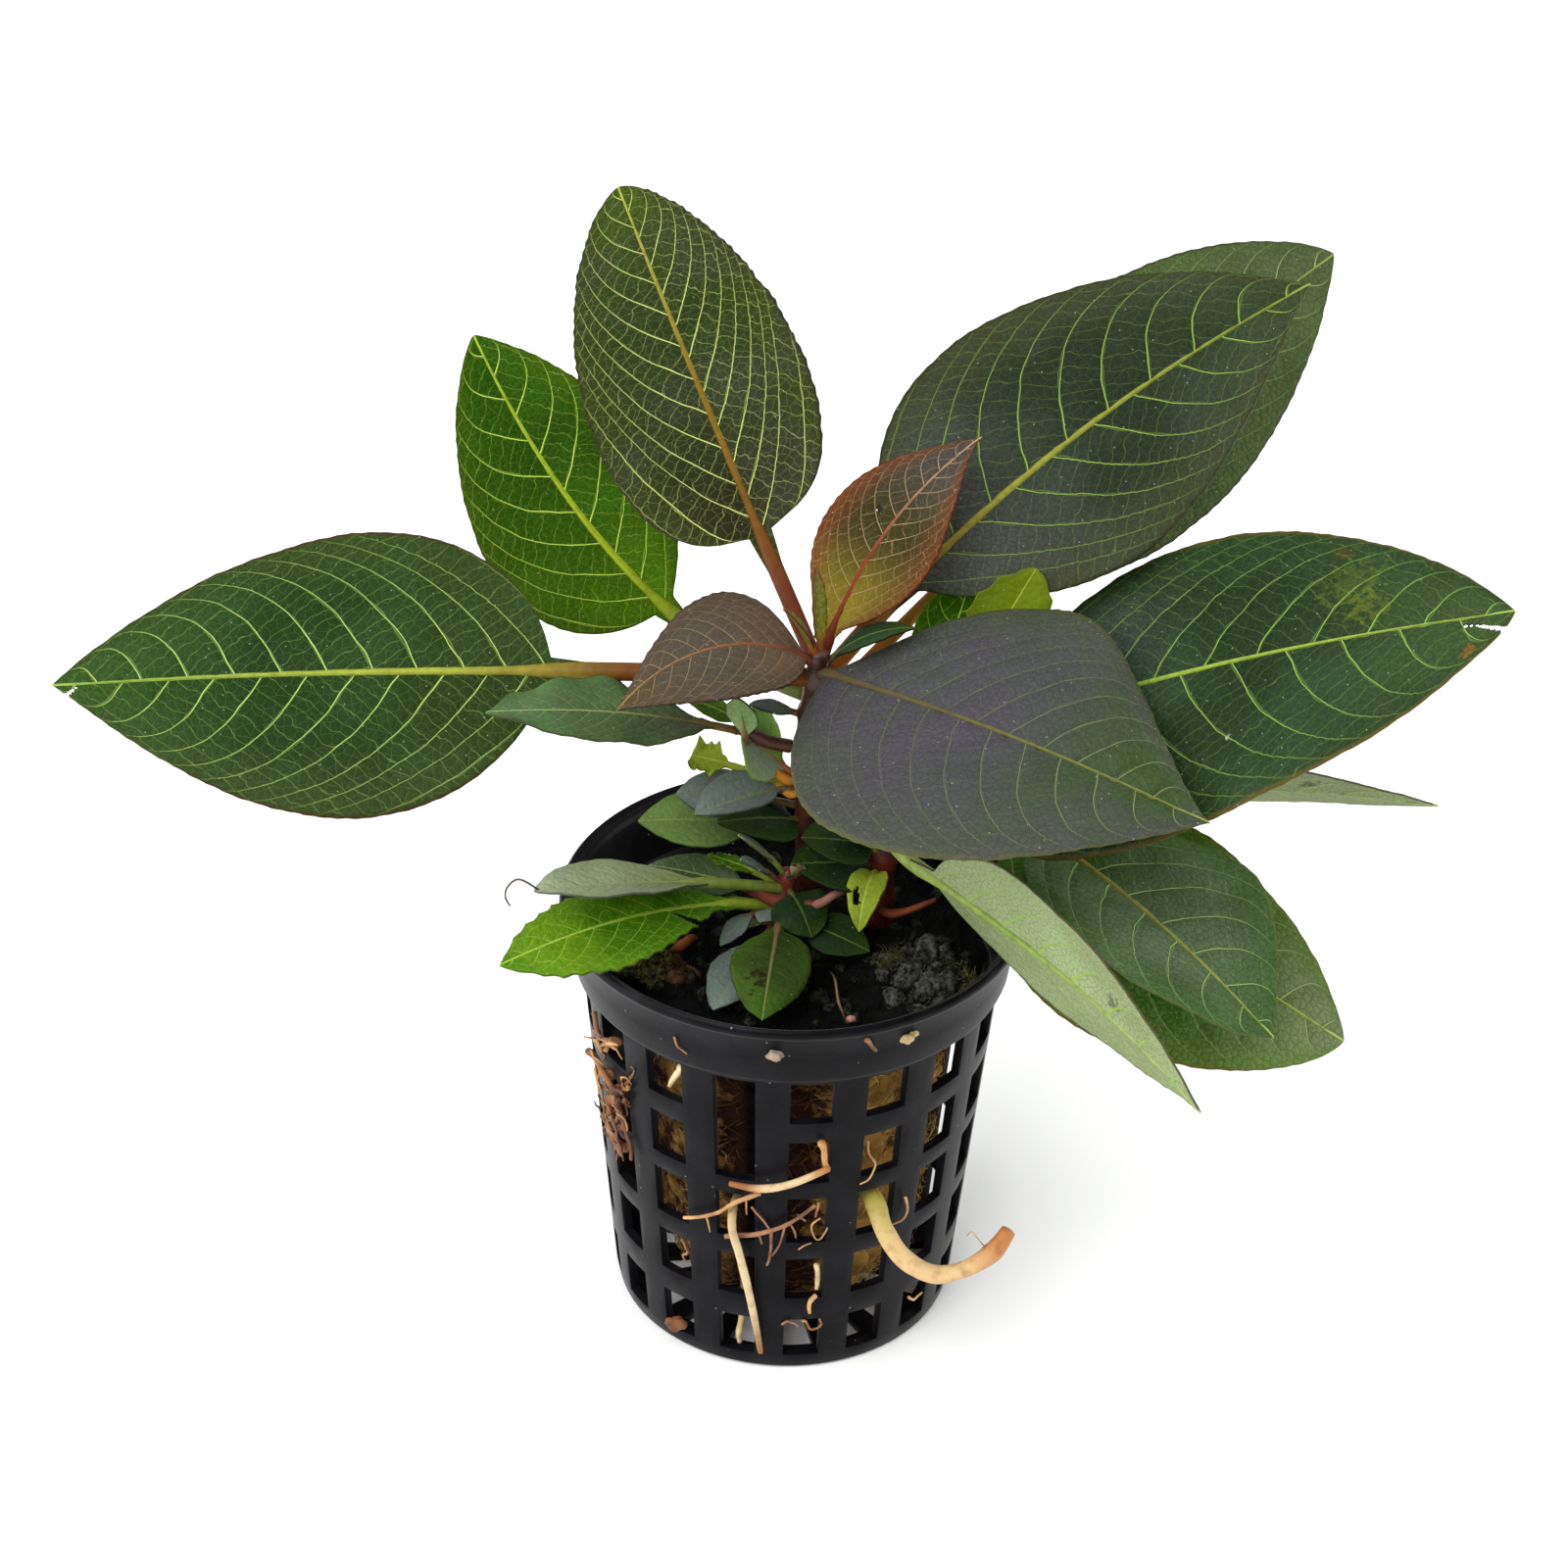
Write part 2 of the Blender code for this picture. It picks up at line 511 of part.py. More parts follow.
def leaf_arc(leaf, foot):
    """Points and the (along, left, up) directions at equal steps from the foot to the tip."""
    step = (leaf.stalk + leaf.blade) / ARC_STEPS
    bent = any(leaf.stalk_turn)
    bending_steps = ARC_STEPS * (leaf.blade / (leaf.stalk + leaf.blade) if bent else 1)
    droop, sweep = math.radians(leaf.droop / bending_steps), math.radians(leaf.sweep / bending_steps)
    along, left, up = frame_at(leaf.heading, leaf.rise, leaf.roll)
    rows = []
    for index in range(ARC_STEPS + 1):
        left_to_turn = 1 - index * step / leaf.stalk if bent else 0
        if left_to_turn > 0:
            turn, climb = (angle * left_to_turn for angle in leaf.stalk_turn)
            along, left, up = frame_at(leaf.heading + turn, leaf.rise + climb, leaf.roll * (1 - left_to_turn))
        rows.append(np.concatenate([foot, along, left, up]))
        if left_to_turn <= 0:
            along, up = turned(along, left, droop), turned(up, left, droop)
            along, left = turned(along, up, sweep), turned(left, up, sweep)
        foot = foot + along * step
    return np.array(rows)


def half_width(leaf, share, side):
    """Half the blade's width on a side (1 is left) at a share of its length, with the stalk's wings."""
    a, b = leaf.left_form if side > 0 else leaf.right_form
    widest = a / (a + b)
    inside = min(max(share, 1e-6), 1 - 1e-6)
    form = (inside**a * (1 - inside) ** b) / (widest**a * (1 - widest) ** b)
    part = leaf.left_share if side > 0 else 1 - leaf.left_share
    return max(leaf.stalk_radius * (1 - share), leaf.width * part * form)


def make_leaf(leaf, stems):
    """One closed body: a round stalk that opens into a thin blade with a rib under its middle."""
    blade_shares = LARGE_BLADE if leaf.large else SMALL_BLADE
    stalk_marks = [0, 0.35 * leaf.stalk_radius, leaf.stalk / 2, leaf.stalk] if leaf.large else [0, 0.3, leaf.stalk]
    marks = stalk_marks + [leaf.stalk + leaf.blade * share for share in blade_shares]
    arc = leaf_arc(leaf, foot_of(leaf, stems))
    length = leaf.stalk + leaf.blade
    edit = bmesh.new()
    bmesh.ops.create_uvsphere(edit, u_segments=SECTION_SIDES, v_segments=len(marks) - 1, radius=1)
    theta = math.radians(leaf.fold - leaf.cup / 2)
    for vertex in edit.verts:
        level = round((math.asin(max(-1, min(1, vertex.co.z))) / math.pi + 0.5) * (len(marks) - 1))
        round_it = vertex.co.to_2d().length
        across = vertex.co.x / round_it if 0 < level < len(marks) - 1 else 0
        above = vertex.co.y / round_it if 0 < level < len(marks) - 1 else 0
        at = marks[level] / length * ARC_STEPS
        row = np.array([np.interp(at, range(ARC_STEPS + 1), arc[:, column]) for column in range(12)])
        middle, left, up = row[0:3], row[6:9], row[9:12]
        share = (marks[level] - leaf.stalk) / leaf.blade
        if share <= 0:
            offset = left * across * leaf.stalk_radius + up * above * leaf.stalk_radius
        else:
            half = half_width(leaf, share, across)
            rib = leaf.stalk_radius * (1 - share) if above < -0.9 else 0
            lift = abs(across) * half * math.sin(theta) + above * (LAMINA_HALF + rib)
            offset = left * across * half * math.cos(theta) + up * lift
        vertex.co = (middle + offset) * MM
    made = mesh_object(leaf.name, edit, collection)
    made.data.materials.append(material(leaf.name + " skin", leaf.colour, 0.45))
    made.data.shade_smooth()
    return made


def main():
    global collection
    clear_scene()
    collection = bpy.data.collections.new("hygrophila")
    cutters = bpy.data.collections.new("cutters")
    bpy.context.scene.collection.children.link(collection)
    bpy.context.scene.collection.children.link(cutters)
    pot_rim()
    pot_base()
    for number, (first, count) in enumerate(WALL_PANELS, 1):
        pot_wall(number, first, count)
    bedding = [rock_wool_plug(), moss_crust()]
    stems = {stem.name: stem for stem in STEMS}
    for stem in STEMS:
        make_stem(stem)
        if stem.points[0][2] > CRUST_TOP:
            continue
        cutter = planting_hole(stem, cutters)
        for piece in bedding:
            cut = piece.modifiers.new("hole for " + stem.name, "BOOLEAN")
            cut.object = cutter
            cut.operation = "DIFFERENCE"
            cut.solver = "EXACT"
    for leaf in LARGE_LEAVES + YOUNG_LEAVES + SHOOT_LEAVES + CLUSTER_LEAVES:
        make_leaf(leaf, stems)
    for root in ROOTS:
        make_root(root)


main()
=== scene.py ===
"""The looks of a hygrophila grown out of water, in a black net pot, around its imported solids.

Lengths are in millimetres and angles in degrees, turned to metres where the meshes are made.
The leaves follow the same midlines and outlines as the solids they stand for.
"""

import logging
import math
from collections.abc import Callable
from dataclasses import dataclass, field
from enum import Enum
from functools import cache

import bpy
import numpy as np
from bpy.types import Material, Node, NodeSocket, Object
from mathutils import Matrix, Vector
from numpy.random import Generator


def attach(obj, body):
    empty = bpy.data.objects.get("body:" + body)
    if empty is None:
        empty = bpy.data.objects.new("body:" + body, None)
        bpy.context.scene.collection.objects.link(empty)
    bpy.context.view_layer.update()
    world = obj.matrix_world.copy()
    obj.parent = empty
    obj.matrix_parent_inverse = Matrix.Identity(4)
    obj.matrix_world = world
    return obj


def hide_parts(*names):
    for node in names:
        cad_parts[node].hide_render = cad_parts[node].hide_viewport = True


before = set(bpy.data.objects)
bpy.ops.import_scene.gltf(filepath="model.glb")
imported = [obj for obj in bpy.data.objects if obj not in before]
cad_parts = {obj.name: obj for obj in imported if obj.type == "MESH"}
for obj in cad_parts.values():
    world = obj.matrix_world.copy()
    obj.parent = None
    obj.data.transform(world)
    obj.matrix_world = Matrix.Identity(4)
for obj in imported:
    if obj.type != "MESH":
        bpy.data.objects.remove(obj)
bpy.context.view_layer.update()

LOG = logging.getLogger("hygrophila")
BODY = "root"
SEED = 20
MM = 0.001
ARC_STEPS = 48
# How far the right half's side veins start behind the left half's, as a share of their spacing.
RIGHT_SIDE_LAG = 0.42
# Blades longer than this many millimetres get a fine grid and a rounder stalk.
LARGE_BLADE = 20
GROOVE_SHADE = "#0a1408"
SMOOTH = {"interpolation_type": "SMOOTHSTEP"}
FLAT = {"voronoi_dimensions": "2D"}
CUTICLE_IOR = 1.45


class Face(Enum):
    """The two faces of a blade."""

    UPPER = "upper"
    UNDER = "under"


# Helpers


def linear(hex_colour: str) -> tuple[float, float, float, float]:
    """Turns an sRGB hex colour to linear red, green, blue and full alpha.

    Args:
        hex_colour: Six hex digits with a leading #.

    Returns:
        The linear colour with an alpha of 1.
    """
    shares = [int(hex_colour[start : start + 2], 16) / 255 for start in (1, 3, 5)]
    red, green, blue = (c / 12.92 if c <= 0.04045 else ((c + 0.055) / 1.055) ** 2.4 for c in shares)
    return (red, green, blue, 1.0)


def only(obj: Object) -> None:
    """Makes an object the one that is selected and active.

    Args:
        obj: The object.
    """
    clear_selection()
    obj.select_set(True)
    bpy.context.view_layer.objects.active = obj


def clear_selection() -> None:
    """Deselects everything."""
    for other in list(bpy.context.selected_objects):
        other.select_set(False)


def coordinates(obj: Object) -> np.ndarray:
    """Reads the vertices of an object.

    Args:
        obj: The object.

    Returns:
        Rows of x, y and z in metres.
    """
    flat = np.empty(len(obj.data.vertices) * 3)
    obj.data.vertices.foreach_get("co", flat)
    return flat.reshape(-1, 3)


def place(obj: Object, points_mm: np.ndarray) -> None:
    """Puts the object's vertices at points in millimetres."""
    obj.data.vertices.foreach_set("co", (points_mm * MM).ravel())
    obj.data.update()


def start_with(primitive: Callable[..., set], name: str, **sizes: object) -> tuple[Object, np.ndarray]:
    """Adds a primitive, by itself, as the start of a piece.

    Args:
        primitive: The operator that adds it.
        name: The new object's name.
        sizes: The operator's settings.

    Returns:
        The object and its vertices.
    """
    clear_selection()
    primitive(**sizes)
    made = bpy.context.active_object
    made.name = name
    return made, coordinates(made)


def finish_skin(obj: Object, material: Material) -> Object:
    """Gives an object its material and smooth shading.

    Args:
        obj: The object.
        material: The material.

    Returns:
        The same object.
    """
    obj.data.materials.append(material)
    obj.data.shade_smooth()
    return obj


def choose_faces(obj: Object, chosen: np.ndarray) -> None:
    """Selects just these faces of an object, ready for edit mode.

    Args:
        obj: The object.
        chosen: True for each face that is selected.
    """
    only(obj)
    bpy.context.tool_settings.mesh_select_mode = (False, False, True)
    obj.data.vertices.foreach_set("select", np.zeros(len(obj.data.vertices), bool))
    obj.data.edges.foreach_set("select", np.zeros(len(obj.data.edges), bool))
    obj.data.polygons.foreach_set("select", chosen)


def delete_faces(obj: Object, gone: np.ndarray) -> None:
    """Deletes faces in edit mode.

    Args:
        obj: The object.
        gone: True for each face that goes.
    """
    choose_faces(obj, gone)
    bpy.ops.object.mode_set(mode="EDIT")
    bpy.ops.mesh.delete(type="FACE")
    bpy.ops.object.mode_set(mode="OBJECT")


def corners_of(grid: Object) -> np.ndarray:
    """Reads the faces of a grid.

    Args:
        grid: The grid.

    Returns:
        The numbers of each face's four vertices.
    """
    corners = np.empty(len(grid.data.polygons) * 4, int)
    grid.data.polygons.foreach_get("vertices", corners)
    return corners.reshape(-1, 4)


def weld(obj: Object, distance_mm: float = 0.01) -> None:
    """Merges vertices that are close, in edit mode.

    Args:
        obj: The object.
        distance_mm: How close they are merged.
    """
    only(obj)
    bpy.ops.object.mode_set(mode="EDIT")
    bpy.ops.mesh.select_all(action="SELECT")
    bpy.ops.mesh.remove_doubles(threshold=distance_mm * MM)
    bpy.ops.object.mode_set(mode="OBJECT")


def apply_modifier(obj: Object, kind: str, **settings: object) -> None:
    """Adds a modifier with its settings and applies it.

    Args:
        obj: The object it works on.
        kind: The modifier's type.
        settings: The modifier's properties.
    """
    only(obj)
    made = obj.modifiers.new(kind.lower(), kind)
    for name, value in settings.items():
        setattr(made, name, value)
    bpy.ops.object.modifier_apply(modifier=made.name)


def joined(parts: list[Object], name: str) -> Object:
    """Joins parts into the first of them under a new name.

    Args:
        parts: The parts, at least one.
        name: The name of the whole.

    Returns:
        The joined object.
    """
    only(parts[0])
    for part in parts[1:]:
        part.select_set(True)
    if len(parts) > 1:
        bpy.ops.object.join()
    parts[0].name = name
    parts[0].data.name = name
    return parts[0]


def finish_piece(obj: Object, slot: str, *nodes: str) -> None:
    """Hands a piece over: it rides on the one body and stands for CAD nodes.

    Args:
        obj: The finished piece.
        slot: The record's material slot; not used.
        nodes: The CAD nodes that it replaces.
    """
    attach(obj, BODY)
    if nodes:
        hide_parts(*nodes)
    LOG.info("%s: %d faces", obj.name, len(obj.data.polygons))


def ripple(across: np.ndarray, along: np.ndarray, seed: float) -> np.ndarray:
    """A smooth unevenness between about -1 and 1, the same each run.

    Args:
        across: One coordinate, in units of the ripple's size.
        along: The other coordinate.
        seed: Sets the pattern.

    Returns:
        The height at each point.
    """
    total = np.zeros(np.broadcast(across, along).shape)
    for turn in range(1, 6):
        angle = seed * 1.7 + turn * 2.4
        size = 0.6 + 0.37 * turn
        slant = across * math.cos(angle) + along * math.sin(angle)
        total = total + np.sin(size * slant + seed * turn * 3.1)
    return total / 3.2


class Graph:
    """A material's node tree, built node by node."""

    def __init__(self, name: str) -> None:
        """Starts an empty material.

        Args:
            name: Its name.
        """
        self.material = bpy.data.materials.new(name)
        self.material.use_nodes = True
        self.tree = self.material.node_tree
        self.tree.nodes.clear()

    def add(self, kind: str, *values: object, sockets: dict | None = None, **settings: object) -> Node:
        """Adds a node with its settings and links. A Mix node mixes colours.

        Args:
            kind: The node's type, without its prefix.
            values: Inputs in order; a node stands for its first output and None leaves the default.
            sockets: Inputs by name.
            settings: The node's own properties.

        Returns:
            The new node.
        """
        node = self.tree.nodes.new("ShaderNode" + kind)
        if kind == "Mix":
            node.data_type = "RGBA"
        for name, value in settings.items():
            setattr(node, name, value)
        inputs = [socket for socket in node.inputs if socket.enabled]
        pairs = [(inputs[index], value) for index, value in enumerate(values) if value is not None]
        pairs += [(node.inputs[name], value) for name, value in (sockets or {}).items()]
        for socket, value in pairs:
            if isinstance(value, Node):
                value = next(output for output in value.outputs if output.enabled)
            if isinstance(value, NodeSocket):
                self.tree.links.new(value, socket)
            else:
                socket.default_value = value
        return node

    def place_mm(self) -> Node:
        """The place on the object, in millimetres."""
        here = self.add("TexCoord").outputs["Object"]
        return self.add("VectorMath", here, sockets={"Scale": 1 / MM}, operation="SCALE")

    def surface(
        self, colour: object, height: object, relief: tuple[float, float], **looks: float
    ) -> Material:
        """Ends the graph with the shader, its relief and the output.

        Args:
            colour: The base colour.
            height: The relief's height.
            relief: The relief's strength and its depth in millimetres.
            looks: The shader's other inputs, with _ for a space.

        Returns:
            The finished material.
        """
        strength, depth = relief
        bump = self.add("Bump", sockets={"Strength": strength, "Distance": depth * MM, "Height": height})
        sockets = {name.replace("_", " "): value for name, value in looks.items()}
        sockets |= {"Base Color": colour, "Normal": bump}
        self.add("OutputMaterial", self.add("BsdfPrincipled", sockets=sockets))
        return self.material


# Finishes


@dataclass(frozen=True)
class LeafFinish:
    """A living leaf: a waxy skin over green tissue, satin, with paler veins let into its upper face.

    The first colours are those of the face between the veins, at the blade's foot, middle, tip and edge.
    Those of the veins and of the stalk and midrib follow, and then the thin margin's, the underside's
    and that of the patches. A blotch is (along, across, radius) in millimetres, a colour and a strength.
    The real net of veins is finer than a render shows, so it is drawn as coarse as it needs.
    """

    name: str
    slot: str
    foot: str
    body: str
    tip: str
    edge: str
    vein: str
    rib_foot: str
    rib_mid: str
    rib_tip: str
    margin: str = "#2c2018"
    under: str = "#6f8a58"
    under_vein: str = "#8fb040"
    patch: str = ""
    patch_size: float = 14.0
    patch_share: float = 0.35
    right_patch: float = 0.0
    tip_from: float = 0.55
    tip_to: float = 1.0
    blotches: tuple = ()
    vein_share: float = 0.013
    vein_strength: float = 1.0
    foot_fade: float = 0.0
    net_strength: float = 0.28
    net_width: float = 0.03
    roughness: float = 0.46
    gloss: float = 0.08
    grain: float = 0.25
    # How strongly the painted shade darkens the fine creases of the upper face.
    crease: float = 0.4
    specks: float = 0.5

    @cache
    def material(self, face: Face) -> Material:
        """Builds the material of one face of the blade, once."""
        return BladeSkin(self, face).finished()

    @cache
    def rib_material(self) -> Material:
        """The smooth, slightly streaked skin of the stalk and the midrib, made once.

        Returns:
            The material.
        """
        graph = Graph(f"{self.name} leaf stalk")
        add = graph.add
        shape = add("SeparateXYZ", add("UVMap", uv_map="shape"))
        colour = self.rib_colour(graph, shape.outputs["X"])
        streak = add("TexNoise", add("UVMap", uv_map="blade"), sockets={"Scale": 0.9, "Detail": 3.0})
        dark = add("MapRange", streak, 0.35, 0.7, 0.0, 0.35)
        colour = add("Mix", dark, colour, linear("#3a1c10"))
        gloss = {"Roughness": 0.42, "IOR": CUTICLE_IOR, "Specular_IOR_Level": 0.12}
        return graph.surface(colour, streak, (0.3, 0.15), **gloss)

    def rib_colour(self, graph: Graph, share: NodeSocket) -> Node:
        """The colour of the stalk and the midrib.

        Args:
            graph: The material's graph.
            share: The place along the blade.

        Returns:
            A node that gives it.
        """
        add = graph.add
        low = add("MapRange", share, -0.15, 0.25, 0.0, 1.0)
        high = add("MapRange", share, 0.35, 1.0, 0.0, 1.0)
        colour = add("Mix", low, linear(self.rib_foot), linear(self.rib_mid))
        return add("Mix", high, colour, linear(self.rib_tip))


class BladeSkin(Graph):
    """The skin of one face of a blade, laid over the blade's own maps.

    The blade map is in millimetres along and across. Veins holds the phase that counts the side veins and
    the side, from 0 at the midrib to 1 at the left edge and -1 at the right. Shape holds the share of the
    blade's length, 0 at its foot and 1 at its tip, and the place across in widths of the midrib.
    """

    def __init__(self, look: LeafFinish, face: Face) -> None:
        """Starts the material and reads the blade's maps.

        Args:
            look: The leaf's finish.
            face: Which face this is.
        """
        super().__init__(f"{look.name} leaf {face.value} face")
        self.look, self.upper = look, face is Face.UPPER
        self.blade = self.add("UVMap", uv_map="blade")
        self.phase, self.side = self._pair("veins")
        self.share, self.from_rib = self._pair("shape")
        self.across = self.add("Math", self.side, operation="ABSOLUTE")

    def _pair(self, name: str) -> tuple[NodeSocket, NodeSocket]:
        """The two numbers of a map."""
        parts = self.add("SeparateXYZ", self.add("UVMap", uv_map=name))
        return parts.outputs["X"], parts.outputs["Y"]

    def finished(self) -> Material:
        """Builds the colours, the veins and the relief.

        Returns:
            The finished material.
        """
        add, look, upper = self.add, self.look, self.upper
        vein, groove = self._side_veins()
        if look.foot_fade:
            fade = add("MapRange", self.share, 0.4, 0.8, 1 - look.foot_fade, 1.0)
            vein = add("Math", vein, fade, operation="MULTIPLY")
        cross_vein = self._cross_veins()
        cells, small = (
            add("TexVoronoi", self.blade, sockets={"Scale": per_mm}, feature="DISTANCE_TO_EDGE", **FLAT)
            for per_mm in (0.8, 1.15)
        )
        colour = self._blotched(self._ground())
        # Painted shade: the fine creases of the skin are darkened, on the upper face and on the underside.
        crease = add("MapRange", small, 0.0, 0.15 if upper else 0.09, look.crease if upper else 0.75, 0.0)
        colour = add("Mix", crease, colour, linear(GROOVE_SHADE if upper else "#4c6238"))
        if upper:
            colour = add("Mix", groove, colour, linear(GROOVE_SHADE))
        areole = add("MapRange", cells, 0.03, 0.01, 0.0, 0.3 * look.net_strength, **SMOOTH)
        for line in (areole, cross_vein, vein):
            colour = add("Mix", line, colour, linear(look.vein if upper else look.under_vein))
        rib = add("Math", self.from_rib, operation="ABSOLUTE")
        rib = add("MapRange", rib, 1.25, 0.75, 0.0, 1.0, **SMOOTH)
        colour = add("Mix", rib, colour, look.rib_colour(self, self.share))
        rim = add("MapRange", self.across, 0.965, 0.995, 0.0, 0.8)
        colour = add("Mix", rim, colour, linear(look.margin))
        if look.specks:
            dots = add("TexVoronoi", self.blade, sockets={"Scale": 0.42}, **FLAT)
            near = add("MapRange", dots.outputs["Distance"], 0.04, 0.015, 0.0, look.specks)
            rare = add("SeparateColor", dots.outputs["Color"])
            rare = add("Math", rare.outputs["Red"], 0.75, operation="GREATER_THAN")
            near = add("Math", near, rare, operation="MULTIPLY")
            colour = add("Mix", near, colour, linear("#b9bca6"))
        height = add("Math", small, 0.9, operation="MULTIPLY")
        height = add("Math", height, add("Math", cells, 0.8, operation="MULTIPLY"), operation="ADD")
        lines = add("Math", vein, 0.45 if upper else -0.6, operation="MULTIPLY")
        height = add("Math", height, lines, operation="SUBTRACT")
        fine = add("TexNoise", self.blade, sockets={"Scale": 5.0, "Detail": 3.0})
        fine = add("Math", fine, look.grain, operation="MULTIPLY")
        height = add("Math", height, fine, operation="ADD")
        gloss = {"IOR": CUTICLE_IOR, "Specular_IOR_Level": look.gloss}
        return self.surface(colour, height, (0.55, 0.22), Roughness=look.roughness if upper else 0.6, **gloss)

    def _cross_veins(self) -> Node:
        """The thin veins that cross like rungs from one side vein to the next.

        Returns:
            A node that is 0 off a vein and the net's strength on it.
        """
        add = self.add
        bend = add("TexNoise", self.blade, sockets={"Scale": 0.3, "Detail": 2.0}).outputs["Color"]
        bend = add("VectorMath", bend, (0.5, 0.5, 0.5), operation="SUBTRACT")
        bend = add("VectorMath", bend, (1.5, 0.2, 0.0), operation="MULTIPLY")
        rungs = add("VectorMath", add("UVMap", uv_map="net"), bend, operation="ADD")
        unlike_left, lag = self._right_shift(40.3), self._right_shift(RIGHT_SIDE_LAG)
        rungs = add("VectorMath", rungs, add("CombineXYZ", unlike_left, lag, 0.0), operation="ADD")
        sockets = {"Scale": 1.0, "Mortar Size": self.look.net_width, "Mortar Smooth": 0.3}
        sockets |= {"Brick Width": 1.0, "Row Height": 1.0}
        uneven = {"offset": 0.43, "offset_frequency": 2, "squash": 1.25, "squash_frequency": 3}
        bricks = add("TexBrick", rungs, sockets=sockets, **uneven)
        return add("Math", bricks.outputs["Fac"], 0.6 * self.look.net_strength, operation="MULTIPLY")

    def _side_veins(self) -> tuple[Node, ...]:
        """The side veins, which stand out broader on the underside.

        Returns:
            A node that is 1 on a vein and 0 off it, and one for the shade in the groove beside it.
        """
        add = self.add
        wobble = add("TexNoise", self.blade, sockets={"Scale": 0.16, "Detail": 2.0})
        wobble = add("MapRange", wobble, 0.25, 0.75, -0.06, 0.06)
        phase = add("Math", self.phase, wobble, operation="ADD")
        phase = add("Math", phase, self._right_shift(RIGHT_SIDE_LAG), operation="ADD")
        apart = add("Math", add("Math", phase, operation="FRACT"), 0.5, operation="SUBTRACT")
        apart = add("Math", apart, operation="ABSOLUTE")
        broad = self.look.vein_share if self.upper else 2.2 * self.look.vein_share
        width = add("MapRange", self.across, 0.0, 1.0, broad, broad * 0.45)
        ratio = add("Math", apart, width, operation="DIVIDE")
        line = add("MapRange", ratio, 1.7, 0.5, 0.0, self.look.vein_strength, **SMOOTH)
        shade = add("MapRange", ratio, 4.2, 1.4, 0.0, 0.45, **SMOOTH)
        fade = add("MapRange", self.across, 0.97, 0.86, 0.0, 1.0)
        return tuple(add("Math", part, fade, operation="MULTIPLY") for part in (line, shade))

    def _right_shift(self, amount: float) -> Node:
        """A shift of the given amount on the right of the midrib and none on the left."""
        right = self.add("Math", self.side, 0.0, operation="LESS_THAN")
        return self.add("Math", right, amount, operation="MULTIPLY")

    def _ground(self) -> Node:
        """The colour between the veins.

        Returns:
            A node that gives it.
        """
        add, look = self.add, self.look
        broad = {"Scale": 1 / look.patch_size, "Detail": 3.0, "Roughness": 0.55}
        cloud = add("TexNoise", self.blade, sockets=broad)
        if not self.upper:
            soft = add("MapRange", cloud, 0.35, 0.7, 0.0, 0.35)
            return add("Mix", soft, linear(look.under), linear("#9db487"))
        toward_foot = add("MapRange", self.share, 0.0, 0.45, 1.0, 0.0, **SMOOTH)
        toward_tip = add("MapRange", self.share, look.tip_from, look.tip_to, 0.0, 1.0, **SMOOTH)
        colour = add("Mix", toward_foot, linear(look.body), linear(look.foot))
        colour = add("Mix", toward_tip, colour, linear(look.tip))
        toward_edge = add("MapRange", self.across, 0.45, 1.0, 0.0, 0.8, **SMOOTH)
        colour = add("Mix", toward_edge, colour, linear(look.edge))
        if look.patch:
            where = add("MapRange", cloud, 0.44, 0.62, 0.0, look.patch_share, **SMOOTH)
            if look.right_patch:
                half = add("MapRange", self.side, -0.3, 0.3, look.right_patch, 0.0)
                where = add("Math", where, half, operation="ADD", use_clamp=True)
            colour = add("Mix", where, colour, linear(look.patch))
        light = add("MapRange", cloud, 0.3, 0.7, 0.74, 1.28)
        bright = add("CombineColor", light, light, light)
        return add("Mix", 1.0, colour, bright, blend_type="MULTIPLY")

    def _blotched(self, colour: Node) -> Node:
        """Lays the leaf's stained spots over a colour.

        Args:
            colour: The colour without them.

        Returns:
            A node that gives the colour with them.
        """
        add = self.add
        for along_mm, lateral_mm, radius, tint, strength in self.look.blotches:
            apart = add("VectorMath", self.blade, (along_mm, lateral_mm, 0.0), operation="DISTANCE")
            apart = add("Math", apart.outputs["Value"], radius, operation="DIVIDE")
            rough = add("TexNoise", self.blade, sockets={"Scale": 0.9, "Detail": 4.0})
            rough = add("MapRange", rough, 0.3, 0.7, -1.2, 1.2)
            apart = add("Math", apart, rough, operation="ADD")
            where = add("MapRange", apart, 1.1, 0.5, 0.0, strength)
            colour = add("Mix", where, colour, linear(tint))
        return colour


@dataclass(frozen=True)
class StemFinish:
    """A herb's stem: smooth red-brown skin, greener in patches, satin."""

    name: str
    low: str
    high: str
    roughness: float = 0.4

    def material(self) -> Material:
        """Builds the stem's material.

        Returns:
            The material.
        """
        graph = Graph(f"{self.name} stem skin")
        add = graph.add
        place_mm = graph.place_mm()
        cloud = add("TexNoise", place_mm, sockets={"Scale": 0.3, "Detail": 4.0})
        where = add("MapRange", cloud, 0.38, 0.62, 0.0, 1.0)
        colour = add("Mix", where, linear(self.low), linear(self.high))
        fine = add("TexNoise", place_mm, sockets={"Scale": 2.5, "Detail": 2.0})
        return graph.surface(colour, fine, (0.4, 0.2), Roughness=self.roughness, IOR=CUTICLE_IOR)


